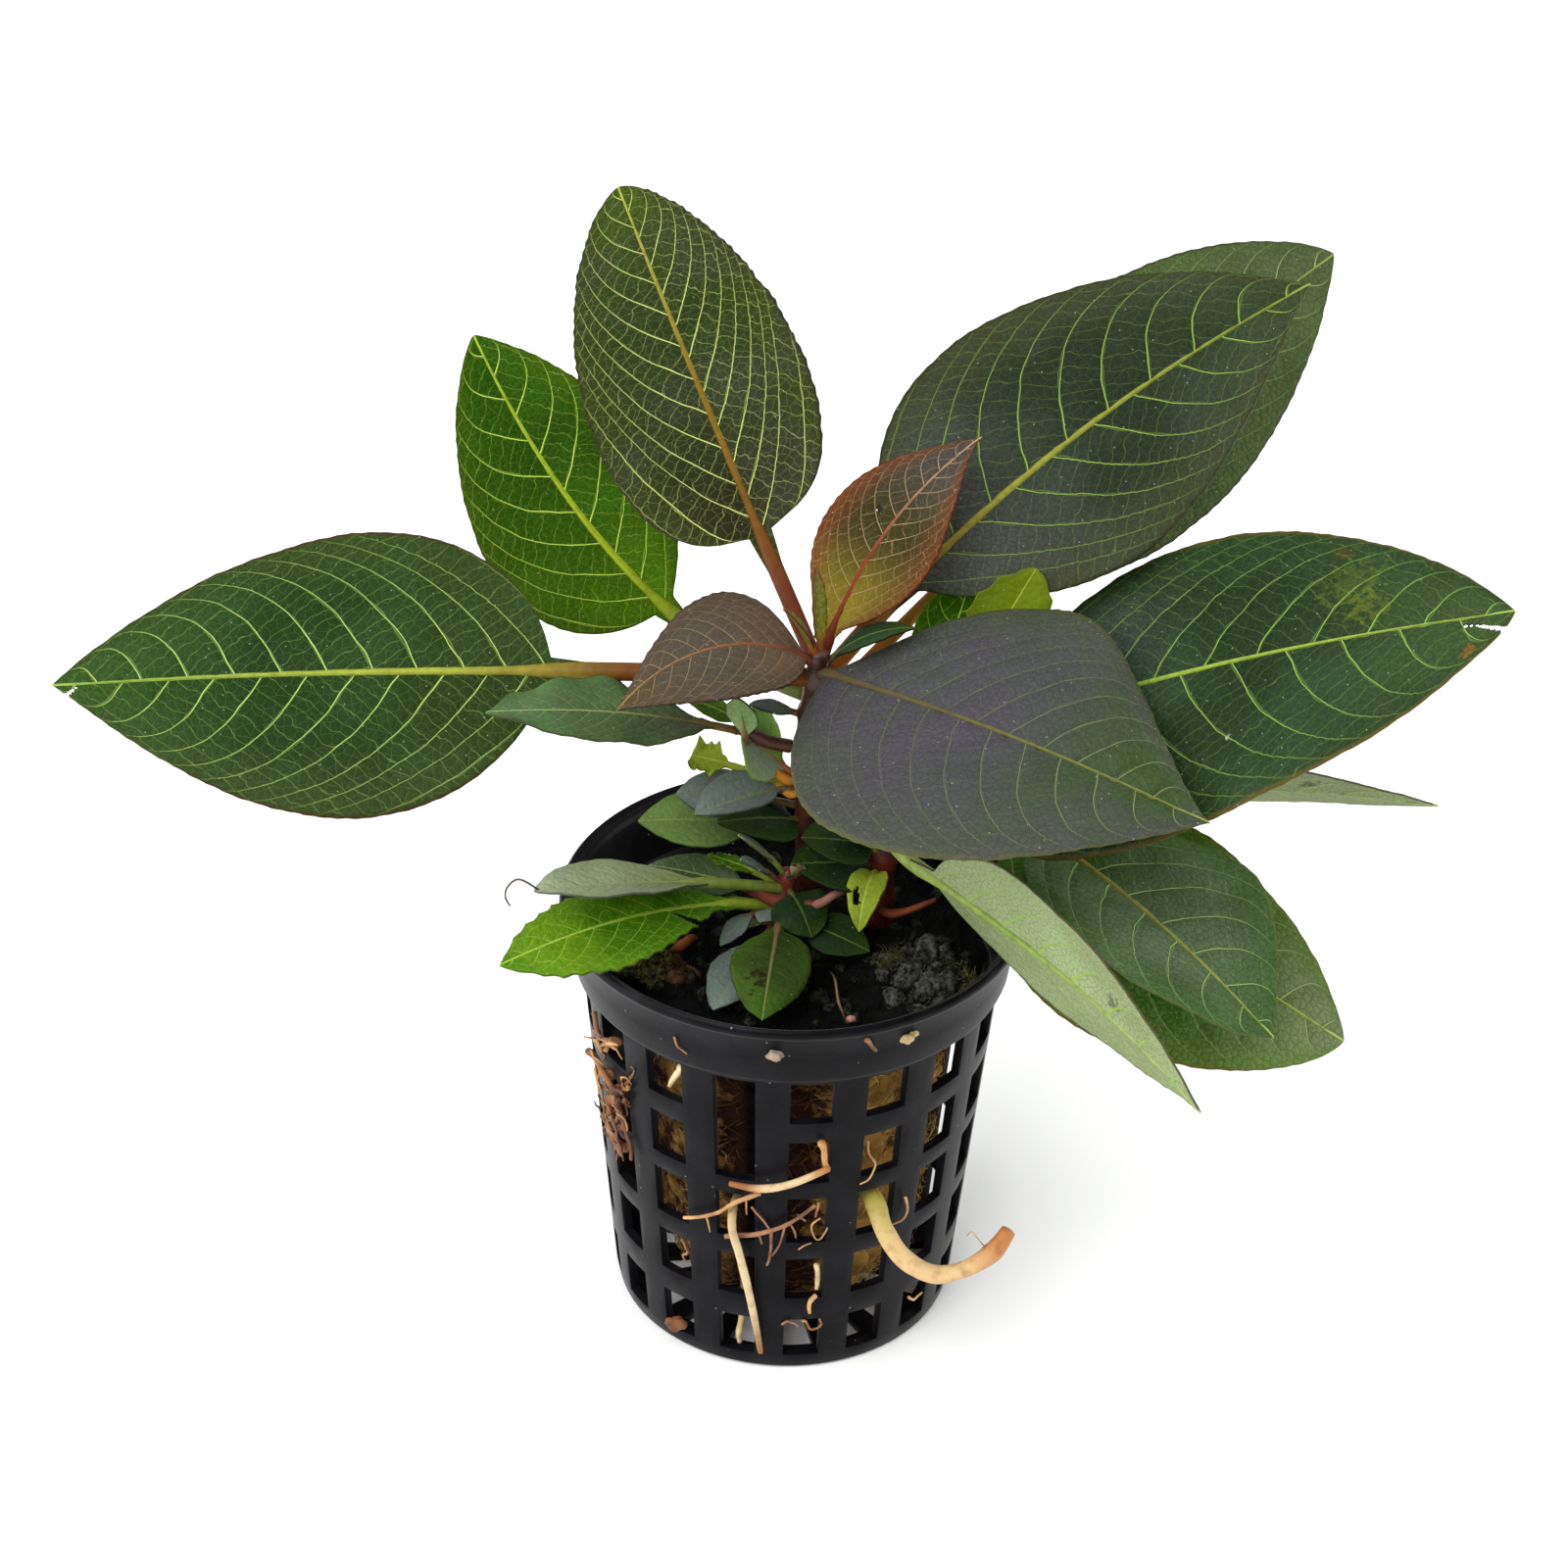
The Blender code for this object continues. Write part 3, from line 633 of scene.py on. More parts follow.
@dataclass(frozen=True)
class MottledFinish:
    """A matte fibrous or crumbly stuff in two colours, rough to the eye.

    Size is the mottling's, in millimetres. A toned piece gets paler or darker by its tone map.
    """

    name: str
    dark: str
    light: str
    size: float
    roughness: float = 0.95
    relief: float = 0.5
    toned: bool = False

    def material(self) -> Material:
        """Builds the material.

        Returns:
            The material.
        """
        graph = Graph(self.name)
        add = graph.add
        rough = {"Scale": 1 / self.size, "Detail": 6.0, "Roughness": 0.7}
        cloud = add("TexNoise", graph.place_mm(), sockets=rough)
        level = cloud
        if self.toned:
            tone = add("SeparateXYZ", add("UVMap", uv_map="tone")).outputs["X"]
            level = add("Math", cloud, tone, operation="ADD")
        where = add("MapRange", level, 0.4, 0.62, 0.0, 1.0)
        colour = add("Mix", where, linear(self.dark), linear(self.light))
        if self.toned:
            lit = add("MapRange", tone, -0.55, -0.25, 0.06, 1.0)
            colour = add("Mix", 1.0, colour, add("CombineColor", lit, lit, lit), blend_type="MULTIPLY")
        relief = (self.relief, 0.6)
        return graph.surface(colour, cloud, relief, Roughness=self.roughness, Specular_IOR_Level=0.1)


@dataclass(frozen=True)
class PolypropyleneFinish:
    """Black polypropylene, injection moulded: satin, with a faint orange peel and fine dust."""

    name: str = "moulded black polypropylene"
    colour: str = "#050407"
    roughness: float = 0.36

    def material(self) -> Material:
        """Builds the material.

        Returns:
            The material.
        """
        graph = Graph(self.name)
        add = graph.add
        place_mm = graph.place_mm()
        dots = add("TexVoronoi", place_mm, sockets={"Scale": 0.62})
        near = add("MapRange", dots.outputs["Distance"], 0.09, 0.03, 0.0, 0.75)
        rare = add("SeparateColor", dots.outputs["Color"])
        rare = add("Math", rare.outputs["Green"], 0.72, operation="GREATER_THAN")
        near = add("Math", near, rare, operation="MULTIPLY")
        film = add("TexNoise", place_mm, sockets={"Scale": 0.22, "Detail": 4.0})
        film = add("MapRange", film, 0.42, 0.75, 0.0, 0.16)
        colour = add("Mix", film, linear(self.colour), linear("#302e36"))
        colour = add("Mix", near, colour, linear("#8d8a8c"))
        peel = add("TexNoise", place_mm, sockets={"Scale": 1.8, "Detail": 3.0})
        satin = {"Roughness": self.roughness, "IOR": 1.49, "Specular_IOR_Level": 0.07}
        return graph.surface(colour, peel, (0.12, 0.2), **satin, Sheen_Weight=0.07, Sheen_Roughness=0.4)


LEAF_FINISH_TABLE = (
    LeafFinish("bronze", "leaf_bronze", "#1e1e02", "#202e06", "#334600", "#2a3204", "#bcc870", "#542004",
               "#6c540c", "#989c40", margin="#231c10", under="#6a6a44", patch="#24261a", patch_share=0.6,
               vein_share=0.015, net_strength=0.38),
    # Its saturated green is partly the leaf's own and partly painted light shining through the blade.
    LeafFinish("fresh", "leaf_bright", "#385702", "#1f3d02", "#1f4202", "#2c4303", "#a4bc4c", "#5c6c08",
               "#7c8c10", "#84982c", margin="#33360c", net_strength=0.3, gloss=0.02),
    LeafFinish("deep green", "leaf_dark", "#1f3004", "#142d02", "#25430c", "#28380e", "#9cb860", "#62370f",
               "#8a9430", "#769440", margin="#3a2614", patch="#1a3012", patch_share=0.35),
    # The grey foot colour is painted sheen; the body, tip and edge are the leaf's own blue green.
    LeafFinish("blue green", "leaf_dark", "#484745", "#1b2616", "#2a3619", "#33351c", "#7c9a40", "#804611",
               "#84862c", "#738239", margin="#2a2c12", patch="#272f28", patch_share=0.35),
    LeafFinish("grey green", "leaf_dark", "#3c4624", "#3e4a28", "#404c2a", "#3a4a22", "#849a58", "#8c5a1c",
               "#707d42", "#778646", net_strength=0.2),
    # The grey foot and body are painted sheen over a dark green blade; the green tip is the leaf's own.
    LeafFinish("slate", "leaf_slate", "#3b3b3c", "#38393a", "#2a400e", "#363d2c", "#747c4c", "#463c28",
               "#4c4828", "#788038", margin="#4a4a20", patch="#302836", patch_share=0.5, tip_from=0.5,
               tip_to=0.8, foot_fade=0.65, net_strength=0.2, roughness=0.5, gloss=0.25, grain=1.1),
    # The grey-blue foot colour is painted sheen; the rest is the leaf's own green.
    LeafFinish("glossy green", "leaf_dark", "#43464c", "#15280c", "#30421e", "#1d3112", "#7ea048", "#808939",
               "#809c34", "#809a40", margin="#5a4a1a", patch="#20341e", patch_share=0.4, gloss=0.12,
               vein_share=0.01, blotches=((43.8, 7.6, 3.4, "#5c6c14", 0.22),
               (46.0, 3.5, 2.2, "#6a7414", 0.25), (42.0, 12.0, 1.0, "#4a2c10", 0.5),
               (53.9, 8.6, 0.9, "#7a4a10", 0.45), (58.6, -4.4, 0.8, "#8a5010", 0.45),
               (31.0, -9.8, 0.3, "#a8aca0", 0.7))),
    LeafFinish("lower green", "leaf_dark", "#2a420c", "#415035", "#3e562d", "#385423", "#86a05c", "#7a5420",
               "#7c7434", "#8a9a48", margin="#4a5426", patch="#4a5a44", patch_share=0.4),
    LeafFinish("bright green", "leaf_bright", "#214802", "#2c5002", "#626e48", "#48601c", "#86985a",
               "#7a8a30", "#88a034", "#94a850", margin="#5a4c1c", patch="#4c6030", patch_share=0.3),
    LeafFinish("pale", "leaf_pale", "#5c7040", "#5c7040", "#5c7040", "#52683a", "#86a058", "#8a9a50",
               "#7c9444", "#90a260", margin="#43352a", under="#7e8660", under_vein="#7e9c48", specks=0.0,
               blotches=((28.9, -2.6, 1.0, "#3c4428", 0.7),)),
    LeafFinish("copper", "leaf_bronze", "#786810", "#2c2806", "#383436", "#5c2a10", "#b89870", "#581c04",
               "#702c10", "#988468", crease=0.14, margin="#5a1c0c", under="#7a5a3c", patch="#2c2a10",
               patch_share=0.4, net_strength=0.35, tip_from=0.45, tip_to=0.85, vein_strength=0.75),
    LeafFinish("purple brown", "leaf_bronze", "#5c4836", "#3f3a30", "#403913", "#3c3225", "#a08460",
               "#602818", "#744028", "#836e3d", crease=0.14, margin="#2c1a14", under="#6a4c3c",
               patch="#372e27", patch_share=0.5, net_strength=0.35, roughness=0.5, vein_strength=0.75),
    LeafFinish("small grey green", "leaf_slate", "#585e48", "#3b4d2d", "#405139", "#394f28", "#768a60",
               "#6a4a24", "#7a7a44", "#84965c", crease=0.14, margin="#3c3826", patch="#3c5a2c",
               patch_share=0.4),
    # These grey slate colours are partly the leaves' own and partly painted sheen.
    LeafFinish("small slate", "leaf_slate", "#5c6660", "#626c68", "#6e7974", "#5a645e", "#8c9c84", "#5f5030",
               "#66744c", "#6c7c5c", crease=0.14, margin="#262c28", patch="#4a5d4e", patch_share=0.5,
               vein_strength=0.4, net_strength=0.2),
    LeafFinish("small dark", "leaf_dark", "#14280f", "#1a2f13", "#2a3b09", "#213510", "#46573a", "#4a3c20",
               "#4a6030", "#52683a", crease=0.14, margin="#141c10", patch="#243725", patch_share=0.5,
               vein_strength=0.45, net_strength=0.2),
    LeafFinish("small bright", "leaf_bright", "#396304", "#345f03", "#3d6605", "#446b09", "#a4c44c",
               "#7a8a28", "#88a034", "#90ac40", crease=0.14, margin="#3c4a10", patch="#5c7c14",
               patch_share=0.5, vein_strength=0.6, net_strength=0.4),
    LeafFinish("apex", "leaf_bright", "#7c7c28", "#66742a", "#5c4a24", "#6a3c1c", "#8c9440", "#8a4a1c",
               "#7c6a28", "#7c5c30", margin="#4c2012", under="#5c5c28", vein_strength=0.3),
    LeafFinish("toothed", "leaf_bright", "#506008", "#54640a", "#5a680c", "#4a5a08", "#86941c", "#7a7a20",
               "#848c20", "#8c9430", crease=0.14, margin="#7a7a20", vein_strength=0.3, net_strength=0.2,
               gloss=0.04),
    LeafFinish("veined green", "leaf_bright", "#2c5402", "#2c5402", "#2c5402", "#345c04", "#b4cc50",
               "#a0b840", "#b0c850", "#b0c850", crease=0.14, margin="#5c7c14", vein_strength=0.9,
               net_strength=0.3, gloss=0.04),
    LeafFinish("two tone", "leaf_bright", "#7c8a70", "#7c8a70", "#788a68", "#748a60", "#a4b888", "#9c5a40",
               "#9c6848", "#8c8c5c", crease=0.14, margin="#5c7c14", patch="#649010", patch_share=0.0,
               right_patch=0.95, vein_strength=0.4, net_strength=0.2),
    LeafFinish("olive green", "leaf_dark", "#263410", "#2b3d14", "#344e12", "#2e4212", "#5c743c", "#6a5038",
               "#6e6440", "#6c7c3c", crease=0.14, margin="#2c3416", patch="#40581c", patch_share=0.6,
               vein_strength=0.4, net_strength=0.2, blotches=((9.5, -1.0, 1.1, "#241c10", 0.9),
               (11.5, -1.6, 0.5, "#1c140c", 0.9))),
    LeafFinish("mid green", "leaf_dark", "#506834", "#627a40", "#5e763c", "#566e34", "#7c9858", "#5c6c34",
               "#6c8044", "#7c9450", crease=0.14, margin="#384c20", vein_strength=0.4, net_strength=0.25),
    LeafFinish("small yellow", "leaf_bright", "#7c8a18", "#86962a", "#86962a", "#8c9c30", "#a8b850",
               "#8a9030", "#98a83c", "#a0b04c", crease=0.14, margin="#565a18", vein_strength=0.4,
               net_strength=0.25),
    LeafFinish("small grey", "leaf_pale", "#6b753f", "#7c8566", "#858e73", "#798264", "#8c9874", "#6f7f34",
               "#7c8c4c", "#84926a", crease=0.14, margin="#3c3c30", vein_strength=0.3, net_strength=0.2,
               roughness=0.6),
)
LEAF_FINISHES = {finish.name: finish for finish in LEAF_FINISH_TABLE}


# Stems


@dataclass(frozen=True)
class Stem:
    """A stem, as points (x, y, z, radius) from its rooted end up."""

    name: str
    points: tuple
    finish: StemFinish
    nodes: tuple = ()

    def row_at(self, height: float) -> np.ndarray:
        """The point (x, y, z, radius) of the stem at a height."""
        rows = np.array(self.points)
        return np.array([np.interp(height, rows[:, 2], rows[:, column]) for column in range(4)])

    def build(self) -> Object:
        """Makes the stem as a closed tube that swells at its nodes.

        Returns:
            The finished piece.
        """
        _, path = smooth_path(self.points, 15)
        for height in self.nodes:
            path[:, 3] *= 1 + 0.22 * np.exp(-(((path[:, 2] - height) / 0.9) ** 2))
        tube = make_tube(self.name + "_skin", path[:, :3], path[:, 3], sides=16)
        tube.data.materials.append(self.finish.material())
        finish_piece(tube, "stem", self.name)
        return tube


def smooth_path(points: tuple | np.ndarray, per_span: int) -> tuple[np.ndarray, np.ndarray]:
    """A smooth curve through points.

    Args:
        points: Rows of numbers that it passes through.
        per_span: How many steps it takes from one row to the next.

    Returns:
        The steps, counted in rows, and the curve's row at each.
    """
    rows = np.array(points, float)
    last = len(rows) - 1
    steps = np.linspace(0, last, per_span * last + 1)
    low = np.clip(np.floor(steps).astype(int), 0, max(last - 1, 0))
    part = (steps - low)[:, None]
    before, start, end, after = (rows[np.clip(low + offset, 0, last)] for offset in (-1, 0, 1, 2))
    slope_in, slope_out = (end - before) / 2, (after - start) / 2
    cubic = 2 * part**3 - 3 * part**2 + 1
    from_start = cubic * start + (part**3 - 2 * part**2 + part) * slope_in
    return steps, from_start + (1 - cubic) * end + (part**3 - part**2) * slope_out


def make_tube(name: str, path: np.ndarray, radii: np.ndarray, sides: int) -> Object:
    """A closed tube: a sphere whose rings are drawn out along a path.

    Args:
        name: The object's name.
        path: Points in millimetres.
        radii: The radius at each point.
        sides: The number of sides.

    Returns:
        The tube, with millimetres along it and round it in its blade map.
    """
    rings = len(path)
    tube, unit = start_with(
        bpy.ops.mesh.primitive_uv_sphere_add, name, segments=sides, ring_count=rings + 1, radius=1
    )
    level = np.rint((np.arcsin(np.clip(unit[:, 2], -1, 1)) / math.pi + 0.5) * (rings + 1)).astype(int)
    ring = np.clip(level - 1, 0, rings - 1)
    pole = (level == 0) | (level == rings + 1)
    along = np.gradient(path, axis=0)
    along /= np.linalg.norm(along, axis=1)[:, None]
    side = np.zeros_like(along)
    start = np.array([0.0, 0.0, 1.0]) if abs(along[0, 2]) < 0.9 else np.array([0.0, 1.0, 0.0])
    for index, forward in enumerate(along):
        start = start - forward * np.dot(start, forward)
        start /= np.linalg.norm(start)
        side[index] = start
    other = np.cross(along, side)
    turn = np.arctan2(unit[:, 1], unit[:, 0])
    reach = np.where(pole, 0, radii[ring])
    outward = side[ring] * np.cos(turn)[:, None] + other[ring] * np.sin(turn)[:, None]
    points = path[ring] + reach[:, None] * outward
    end = np.where(level == 0, -0.35, np.where(level == rings + 1, 0.35, 0.0)) * radii[ring]
    points += along[ring] * end[:, None]
    place(tube, points)
    length = np.concatenate([[0], np.cumsum(np.linalg.norm(np.diff(path, axis=0), axis=1))])
    set_uv(tube, "blade", np.stack([length[ring], turn * radii[ring]], 1))
    tube.data.shade_smooth()
    return tube


def set_uv(obj: Object, name: str, per_vertex: np.ndarray) -> None:
    """Writes a UV map from one pair of numbers for each vertex.

    Args:
        obj: The object.
        name: The map's name.
        per_vertex: The pairs, a row for each vertex.
    """
    layer = obj.data.uv_layers.get(name) or obj.data.uv_layers.new(name=name)
    corner = np.empty(len(obj.data.loops), int)
    obj.data.loops.foreach_get("vertex_index", corner)
    layer.uv.foreach_set("vector", per_vertex[corner].astype(np.float32).ravel())


# Leaves


def turned(vector: np.ndarray, axis: np.ndarray, angle: float) -> np.ndarray:
    """A vector turned about an axis by an angle in radians."""
    cosine, sine = math.cos(angle), math.sin(angle)
    return vector * cosine + np.cross(axis, vector) * sine + axis * np.dot(axis, vector) * (1 - cosine)


def frame_at(heading: float, rise: float, roll: float) -> tuple[np.ndarray, np.ndarray, np.ndarray]:
    """The directions of a leaf that heads, rises and rolls by these angles.

    Args:
        heading: 0 is +X and 90 is +Y.
        rise: Above the horizon.
        roll: Lifts the left half.

    Returns:
        Along the leaf, to its left and up from it.
    """
    heading, rise, roll = (math.radians(angle) for angle in (heading, rise, roll))
    level = np.array([math.cos(heading), math.sin(heading), 0])
    along = level * math.cos(rise) + np.array([0, 0, math.sin(rise)])
    left = np.array([-math.sin(heading), math.cos(heading), 0])
    up = np.cross(along, left)
    return along, left * math.cos(roll) + up * math.sin(roll), up * math.cos(roll) - left * math.sin(roll)


@dataclass(frozen=True)
class Tear:
    """A tear or a hole in a blade between two places, each (share along, share across, left positive)."""

    start: tuple
    end: tuple
    width: float = 0.5


@dataclass(frozen=True)
class Leaf:
    """A leaf with its stalk, with the same midline and outline as its solid.

    Height is that of its foot on the stem, and stalk, blade and width are its sizes. Heading, rise and roll
    turn it, and droop and sweep bend it down and to the left along its length. Form is the pair of powers
    that shape a half's outline, unless left or right gives that half its own, and left_share is the left
    half's part of the width. Veins is the number of side veins on a half, lean how far forward they reach
    at the edge as a share of the blade, tooth the depth of the edge's teeth, wave the height of the edge's
    waves, wing how far the blade runs down the stalk as a share of the blade. A leaf that isn't solid has
    no CAD node.
    """

    name: str
    stem: str
    height: float
    heading: float
    rise: float
    stalk: float
    blade: float
    width: float
    finish: str
    slot: str = ""
    roll: float = 0
    droop: float = 20
    sweep: float = 0
    form: tuple = (0.65, 0.9)
    left: tuple = ()
    right: tuple = ()
    left_share: float = 0.5
    fold: float = 8
    cup: float = 12
    stalk_radius: float = 0.8
    stalk_turn: tuple = (0, 0)
    rib_taper: float = 1.45
    shift: tuple = (0, 0, 0)
    veins: int = 9
    lean: float = 0.34
    tooth: float = 0.12
    tooth_pitch: float = 2.0
    wave: float = 0.35
    waves: float = 3.5
    quilt: float = 0.22
    net_pitch: float = 1.5
    tears: tuple = ()
    wing: float = 0.14
    thickness: float = 0.24
    solid: bool = True

    def arc(self, foot: np.ndarray) -> np.ndarray:
        """Points and the (along, left, up) directions at equal steps from the foot to the tip.

        Args:
            foot: Where the stalk starts.

        Returns:
            One row of twelve numbers for each step.
        """
        step = (self.stalk + self.blade) / ARC_STEPS
        bent = any(self.stalk_turn)
        bending = ARC_STEPS * (self.blade / (self.stalk + self.blade) if bent else 1)
        droop, sweep = math.radians(self.droop / bending), math.radians(self.sweep / bending)
        along, left, up = frame_at(self.heading, self.rise, self.roll)
        rows = []
        for index in range(ARC_STEPS + 1):
            to_turn = 1 - index * step / self.stalk if bent else 0
            if to_turn > 0:
                turn, climb = (angle * to_turn for angle in self.stalk_turn)
                along, left, up = frame_at(self.heading + turn, self.rise + climb, self.roll * (1 - to_turn))
            rows.append(np.concatenate([foot, along, left, up]))
            if to_turn <= 0:
                along, up = turned(along, left, droop), turned(up, left, droop)
                along, left = turned(along, up, sweep), turned(left, up, sweep)
            foot = foot + along * step
        return np.array(rows)

    def foot_on(self, stem: Stem) -> np.ndarray:
        """Where the stalk's solid starts, just clear of the stem's skin.

        Args:
            stem: The stem it grows from.

        Returns:
            The point in millimetres.
        """
        x, y, _, radius = stem.row_at(self.height)
        heading = math.radians(self.heading + self.stalk_turn[0])
        out = radius + 0.3
        place_at = np.array([x + out * math.cos(heading), y + out * math.sin(heading), self.height])
        return place_at + np.array(self.shift)

    def half_width(self, share: np.ndarray, side: int) -> np.ndarray:
        """The width of a half of the blade, along it.

        Args:
            share: Places as shares of the blade's length.
            side: 1 for the left half, -1 for the right.

        Returns:
            The width at each place.
        """
        a, b = (self.left if side > 0 else self.right) or self.form
        widest = a / (a + b)
        inside = np.clip(share, 1e-6, 1 - 1e-6)
        form = (inside**a * (1 - inside) ** b) / (widest**a * (1 - widest) ** b)
        part = self.left_share if side > 0 else 1 - self.left_share
        return np.maximum(self.stalk_radius * (1 - share), self.width * part * form)

    def build(self, stem: Stem) -> Object:
        """Makes the blade and the stalk and joins them.

        Args:
            stem: The stem it grows from.

        Returns:
            The finished piece.
        """
        arc = self.arc(self.foot_on(stem))
        finish = LEAF_FINISHES[self.finish]
        blade = self._blade(arc)
        stalk = self._stalk(arc)
        for face in Face:
            blade.data.materials.append(finish.material(face))
        apply_modifier(blade, "SOLIDIFY", thickness=self.thickness * MM, offset=-1.0, material_offset=1)
        stalk.data.materials.append(finish.rib_material())
        leaf = joined([blade, stalk], self.name + "_blade")
        leaf.data.shade_smooth()
        finish_piece(leaf, self.slot or finish.slot, *([self.name] if self.solid else []))
        return leaf

    @staticmethod
    def _midline_at(arc: np.ndarray, step: np.ndarray) -> np.ndarray:
        """The midline's rows at places that are counted in its steps."""
        return np.stack([np.interp(step, range(ARC_STEPS + 1), column) for column in arc.T], 1)

    def _blade(self, arc: np.ndarray) -> Object:
        """The blade's upper skin as a grid, with its edge, relief and maps.

        Args:
            arc: The leaf's midline and directions.

        Returns:
            The sheet, not yet thickened.
        """
        rows, columns = (150, 44) if self.blade > LARGE_BLADE else (48, 16)
        name = self.name + "_sheet"
        sheet, unit = start_with(
            bpy.ops.mesh.primitive_grid_add, name, x_subdivisions=rows, y_subdivisions=columns, size=2
        )
        even = (unit[:, 0] + 1) / 2
        even = 0.55 * even + 0.45 * (0.5 - 0.5 * np.cos(math.pi * even))
        wing = min(self.wing * self.blade, 0.6 * self.stalk)
        along_mm = even * (self.blade + wing) - wing
        share = along_mm / self.blade
        q = unit[:, 1]
        side = np.where(q >= 0, 1, -1)
        half = np.where(q >= 0, self.half_width(share, 1), self.half_width(share, -1))
        strip = (1.3 * self.stalk_radius + 0.3) * np.clip(1 + along_mm / max(wing, 0.01), 0, 1) ** 0.6
        half = np.where(share < 0, strip, np.hypot(half, strip * np.exp(-along_mm / 3)))
        seed = sum(ord(letter) for letter in self.name) % 17 + 1.0
        size = self.width / 30
        reach = np.abs(q)
        ends = np.clip(share * 8 + 0.1, 0, 1) * np.clip((1 - share) * 10, 0, 1)
        saw = np.abs(((along_mm / self.tooth_pitch + 0.13 * side) % 1) - 0.35) - 0.3
        tooth = self.tooth * (saw * 1.6 + 0.6 * ripple(along_mm / 1.7, side * 9.0, seed)) * reach**7 * ends
        theta = np.radians(self.fold - self.cup * reach / 2)
        lateral = (half * reach + tooth) * np.cos(theta) * side
        lift = half * reach * np.sin(theta)
        edge_wave = ripple(share * self.waves * 2.2, side * 3.0, seed + 2)
        edge_wave = edge_wave * self.wave * size * reach**2.5 * ends
        phase = self._phase(share, reach, half)
        lag = np.where(side > 0, 0.0, RIGHT_SIDE_LAG)
        groove = np.clip(np.cos(2 * math.pi * (phase + lag - 0.5)), 0, 1) ** 3 * (1 - reach**4)
        middle = np.exp(-((lateral / (0.55 + 0.5 * self.stalk_radius)) ** 2))
        quilt = self.quilt * size * (-groove - 0.8 * middle) * np.clip(half / 2.5, 0, 1)
        pillow = 0.07 * size * ripple(along_mm / 1.1, lateral / 1.1, seed + 5) * (1 - middle)
        lift = lift + edge_wave + (quilt + pillow) * ends + 0.12
        at = (self.stalk + along_mm) / (self.stalk + self.blade) * ARC_STEPS
        path = self._midline_at(arc, at)
        place(sheet, path[:, :3] + path[:, 6:9] * lateral[:, None] + path[:, 9:12] * lift[:, None])
        rib_width = self.stalk_radius * np.maximum(0.5 - 0.4 * share, 0.14)
        set_uv(sheet, "blade", np.stack([along_mm, lateral], 1))
        set_uv(sheet, "veins", np.stack([phase, q], 1))
        rungs = (0.6 * along_mm + 0.8 * np.abs(lateral)) / self.net_pitch
        set_uv(sheet, "net", np.stack([rungs, phase + 0.5], 1))
        set_uv(sheet, "shape", np.stack([share, lateral / rib_width], 1))
        if self.tears:
            self._tear(sheet, np.stack([along_mm, lateral], 1))
        weld(sheet, 0.02)
        return sheet

    def _tear(self, sheet: Object, flat: np.ndarray) -> None:
        """Opens the blade's tears and holes.

        Args:
            sheet: The blade's grid.
            flat: Millimetres along and across the blade for each vertex.
        """
        centres = flat[corners_of(sheet)].mean(1)
        gone = np.zeros(len(centres), bool)
        for tear in self.tears:
            start, end = (self._flat_place(*place_at) for place_at in (tear.start, tear.end))
            run = end - start
            part = np.clip((centres - start) @ run / max(run @ run, 1e-9), 0, 1)
            apart = np.linalg.norm(centres - start - part[:, None] * run, axis=1)
            gone |= apart < 0.5 * tear.width * (0.4 + 0.6 * part)
        delete_faces(sheet, gone)

    def _flat_place(self, share: float, across: float) -> np.ndarray:
        """Millimetres along and across the blade, from shares of its length and of its half width."""
        half = float(self.half_width(np.array(share), 1 if across >= 0 else -1))
        return np.array([share * self.blade, across * half])

    def _phase(self, share: np.ndarray, reach: np.ndarray, half: np.ndarray) -> np.ndarray:
        """Counts the side veins: it passes a half at each, and they curve forward to the edge.

        Args:
            share: The place along the blade.
            reach: The place from the midrib to the edge.
            half: Half the blade's width there.

        Returns:
            The count at each point.
        """
        wide = half / (0.5 * self.width)
        share = np.clip(share, 0, 1)
        start = share - self.lean * wide * (0.48 * reach + 0.62 * reach**3) - 0.05 * reach**6
        start = np.where(start < 0, start * 0.4, start)
        spread = np.sign(start) * np.abs(start) ** 0.93
        return self.veins * spread + 6

    def _stalk(self, arc: np.ndarray) -> Object:
        """The stalk and the rib under the blade as one tapering tube.

        Args:
            arc: The leaf's midline and directions.

        Returns:
            The tube.
        """
        on_rib = self.stalk + self.blade * np.linspace(0, 0.97, 34)
        stations = np.concatenate([np.linspace(0, self.stalk, 9)[:-1], on_rib])
        path = self._midline_at(arc, stations / (self.stalk + self.blade) * ARC_STEPS)
        share = (stations - self.stalk) / self.blade
        on_blade = np.clip(share, 0, 1)
        slim = 1 - 0.42 * np.clip(share * 9 + 0.4, 0, 1)
        radii = self.stalk_radius * slim * (1 - on_blade) ** self.rib_taper + 0.06
        sink = np.clip(share * 6, 0, 1) * (0.62 * radii)
        centre = path[:, :3] - path[:, 9:12] * sink[:, None]
        start = centre[0] - path[0, 3:6] * 0.9
        centre = np.vstack([start, centre])
        radii = np.concatenate([[radii[0] * 1.15], radii])
        tube = make_tube(self.name + "_stalk", centre, radii, sides=12 if self.blade > LARGE_BLADE else 8)
        apart = coordinates(tube)[:, None, :] / MM - centre[None, :, :]
        nearest = np.argmin((apart**2).sum(2), axis=1)
        shares = np.concatenate([[share[0]], share])[nearest]
        set_uv(tube, "shape", np.stack([shares, np.zeros(len(shares))], 1))
        set_uv(tube, "veins", np.zeros((len(shares), 2)))
        return tube


RED_BROWN = StemFinish("red brown", "#2a120c", "#4c2616")
RED_STEM = StemFinish("red", "#3c120c", "#6e2a1a")

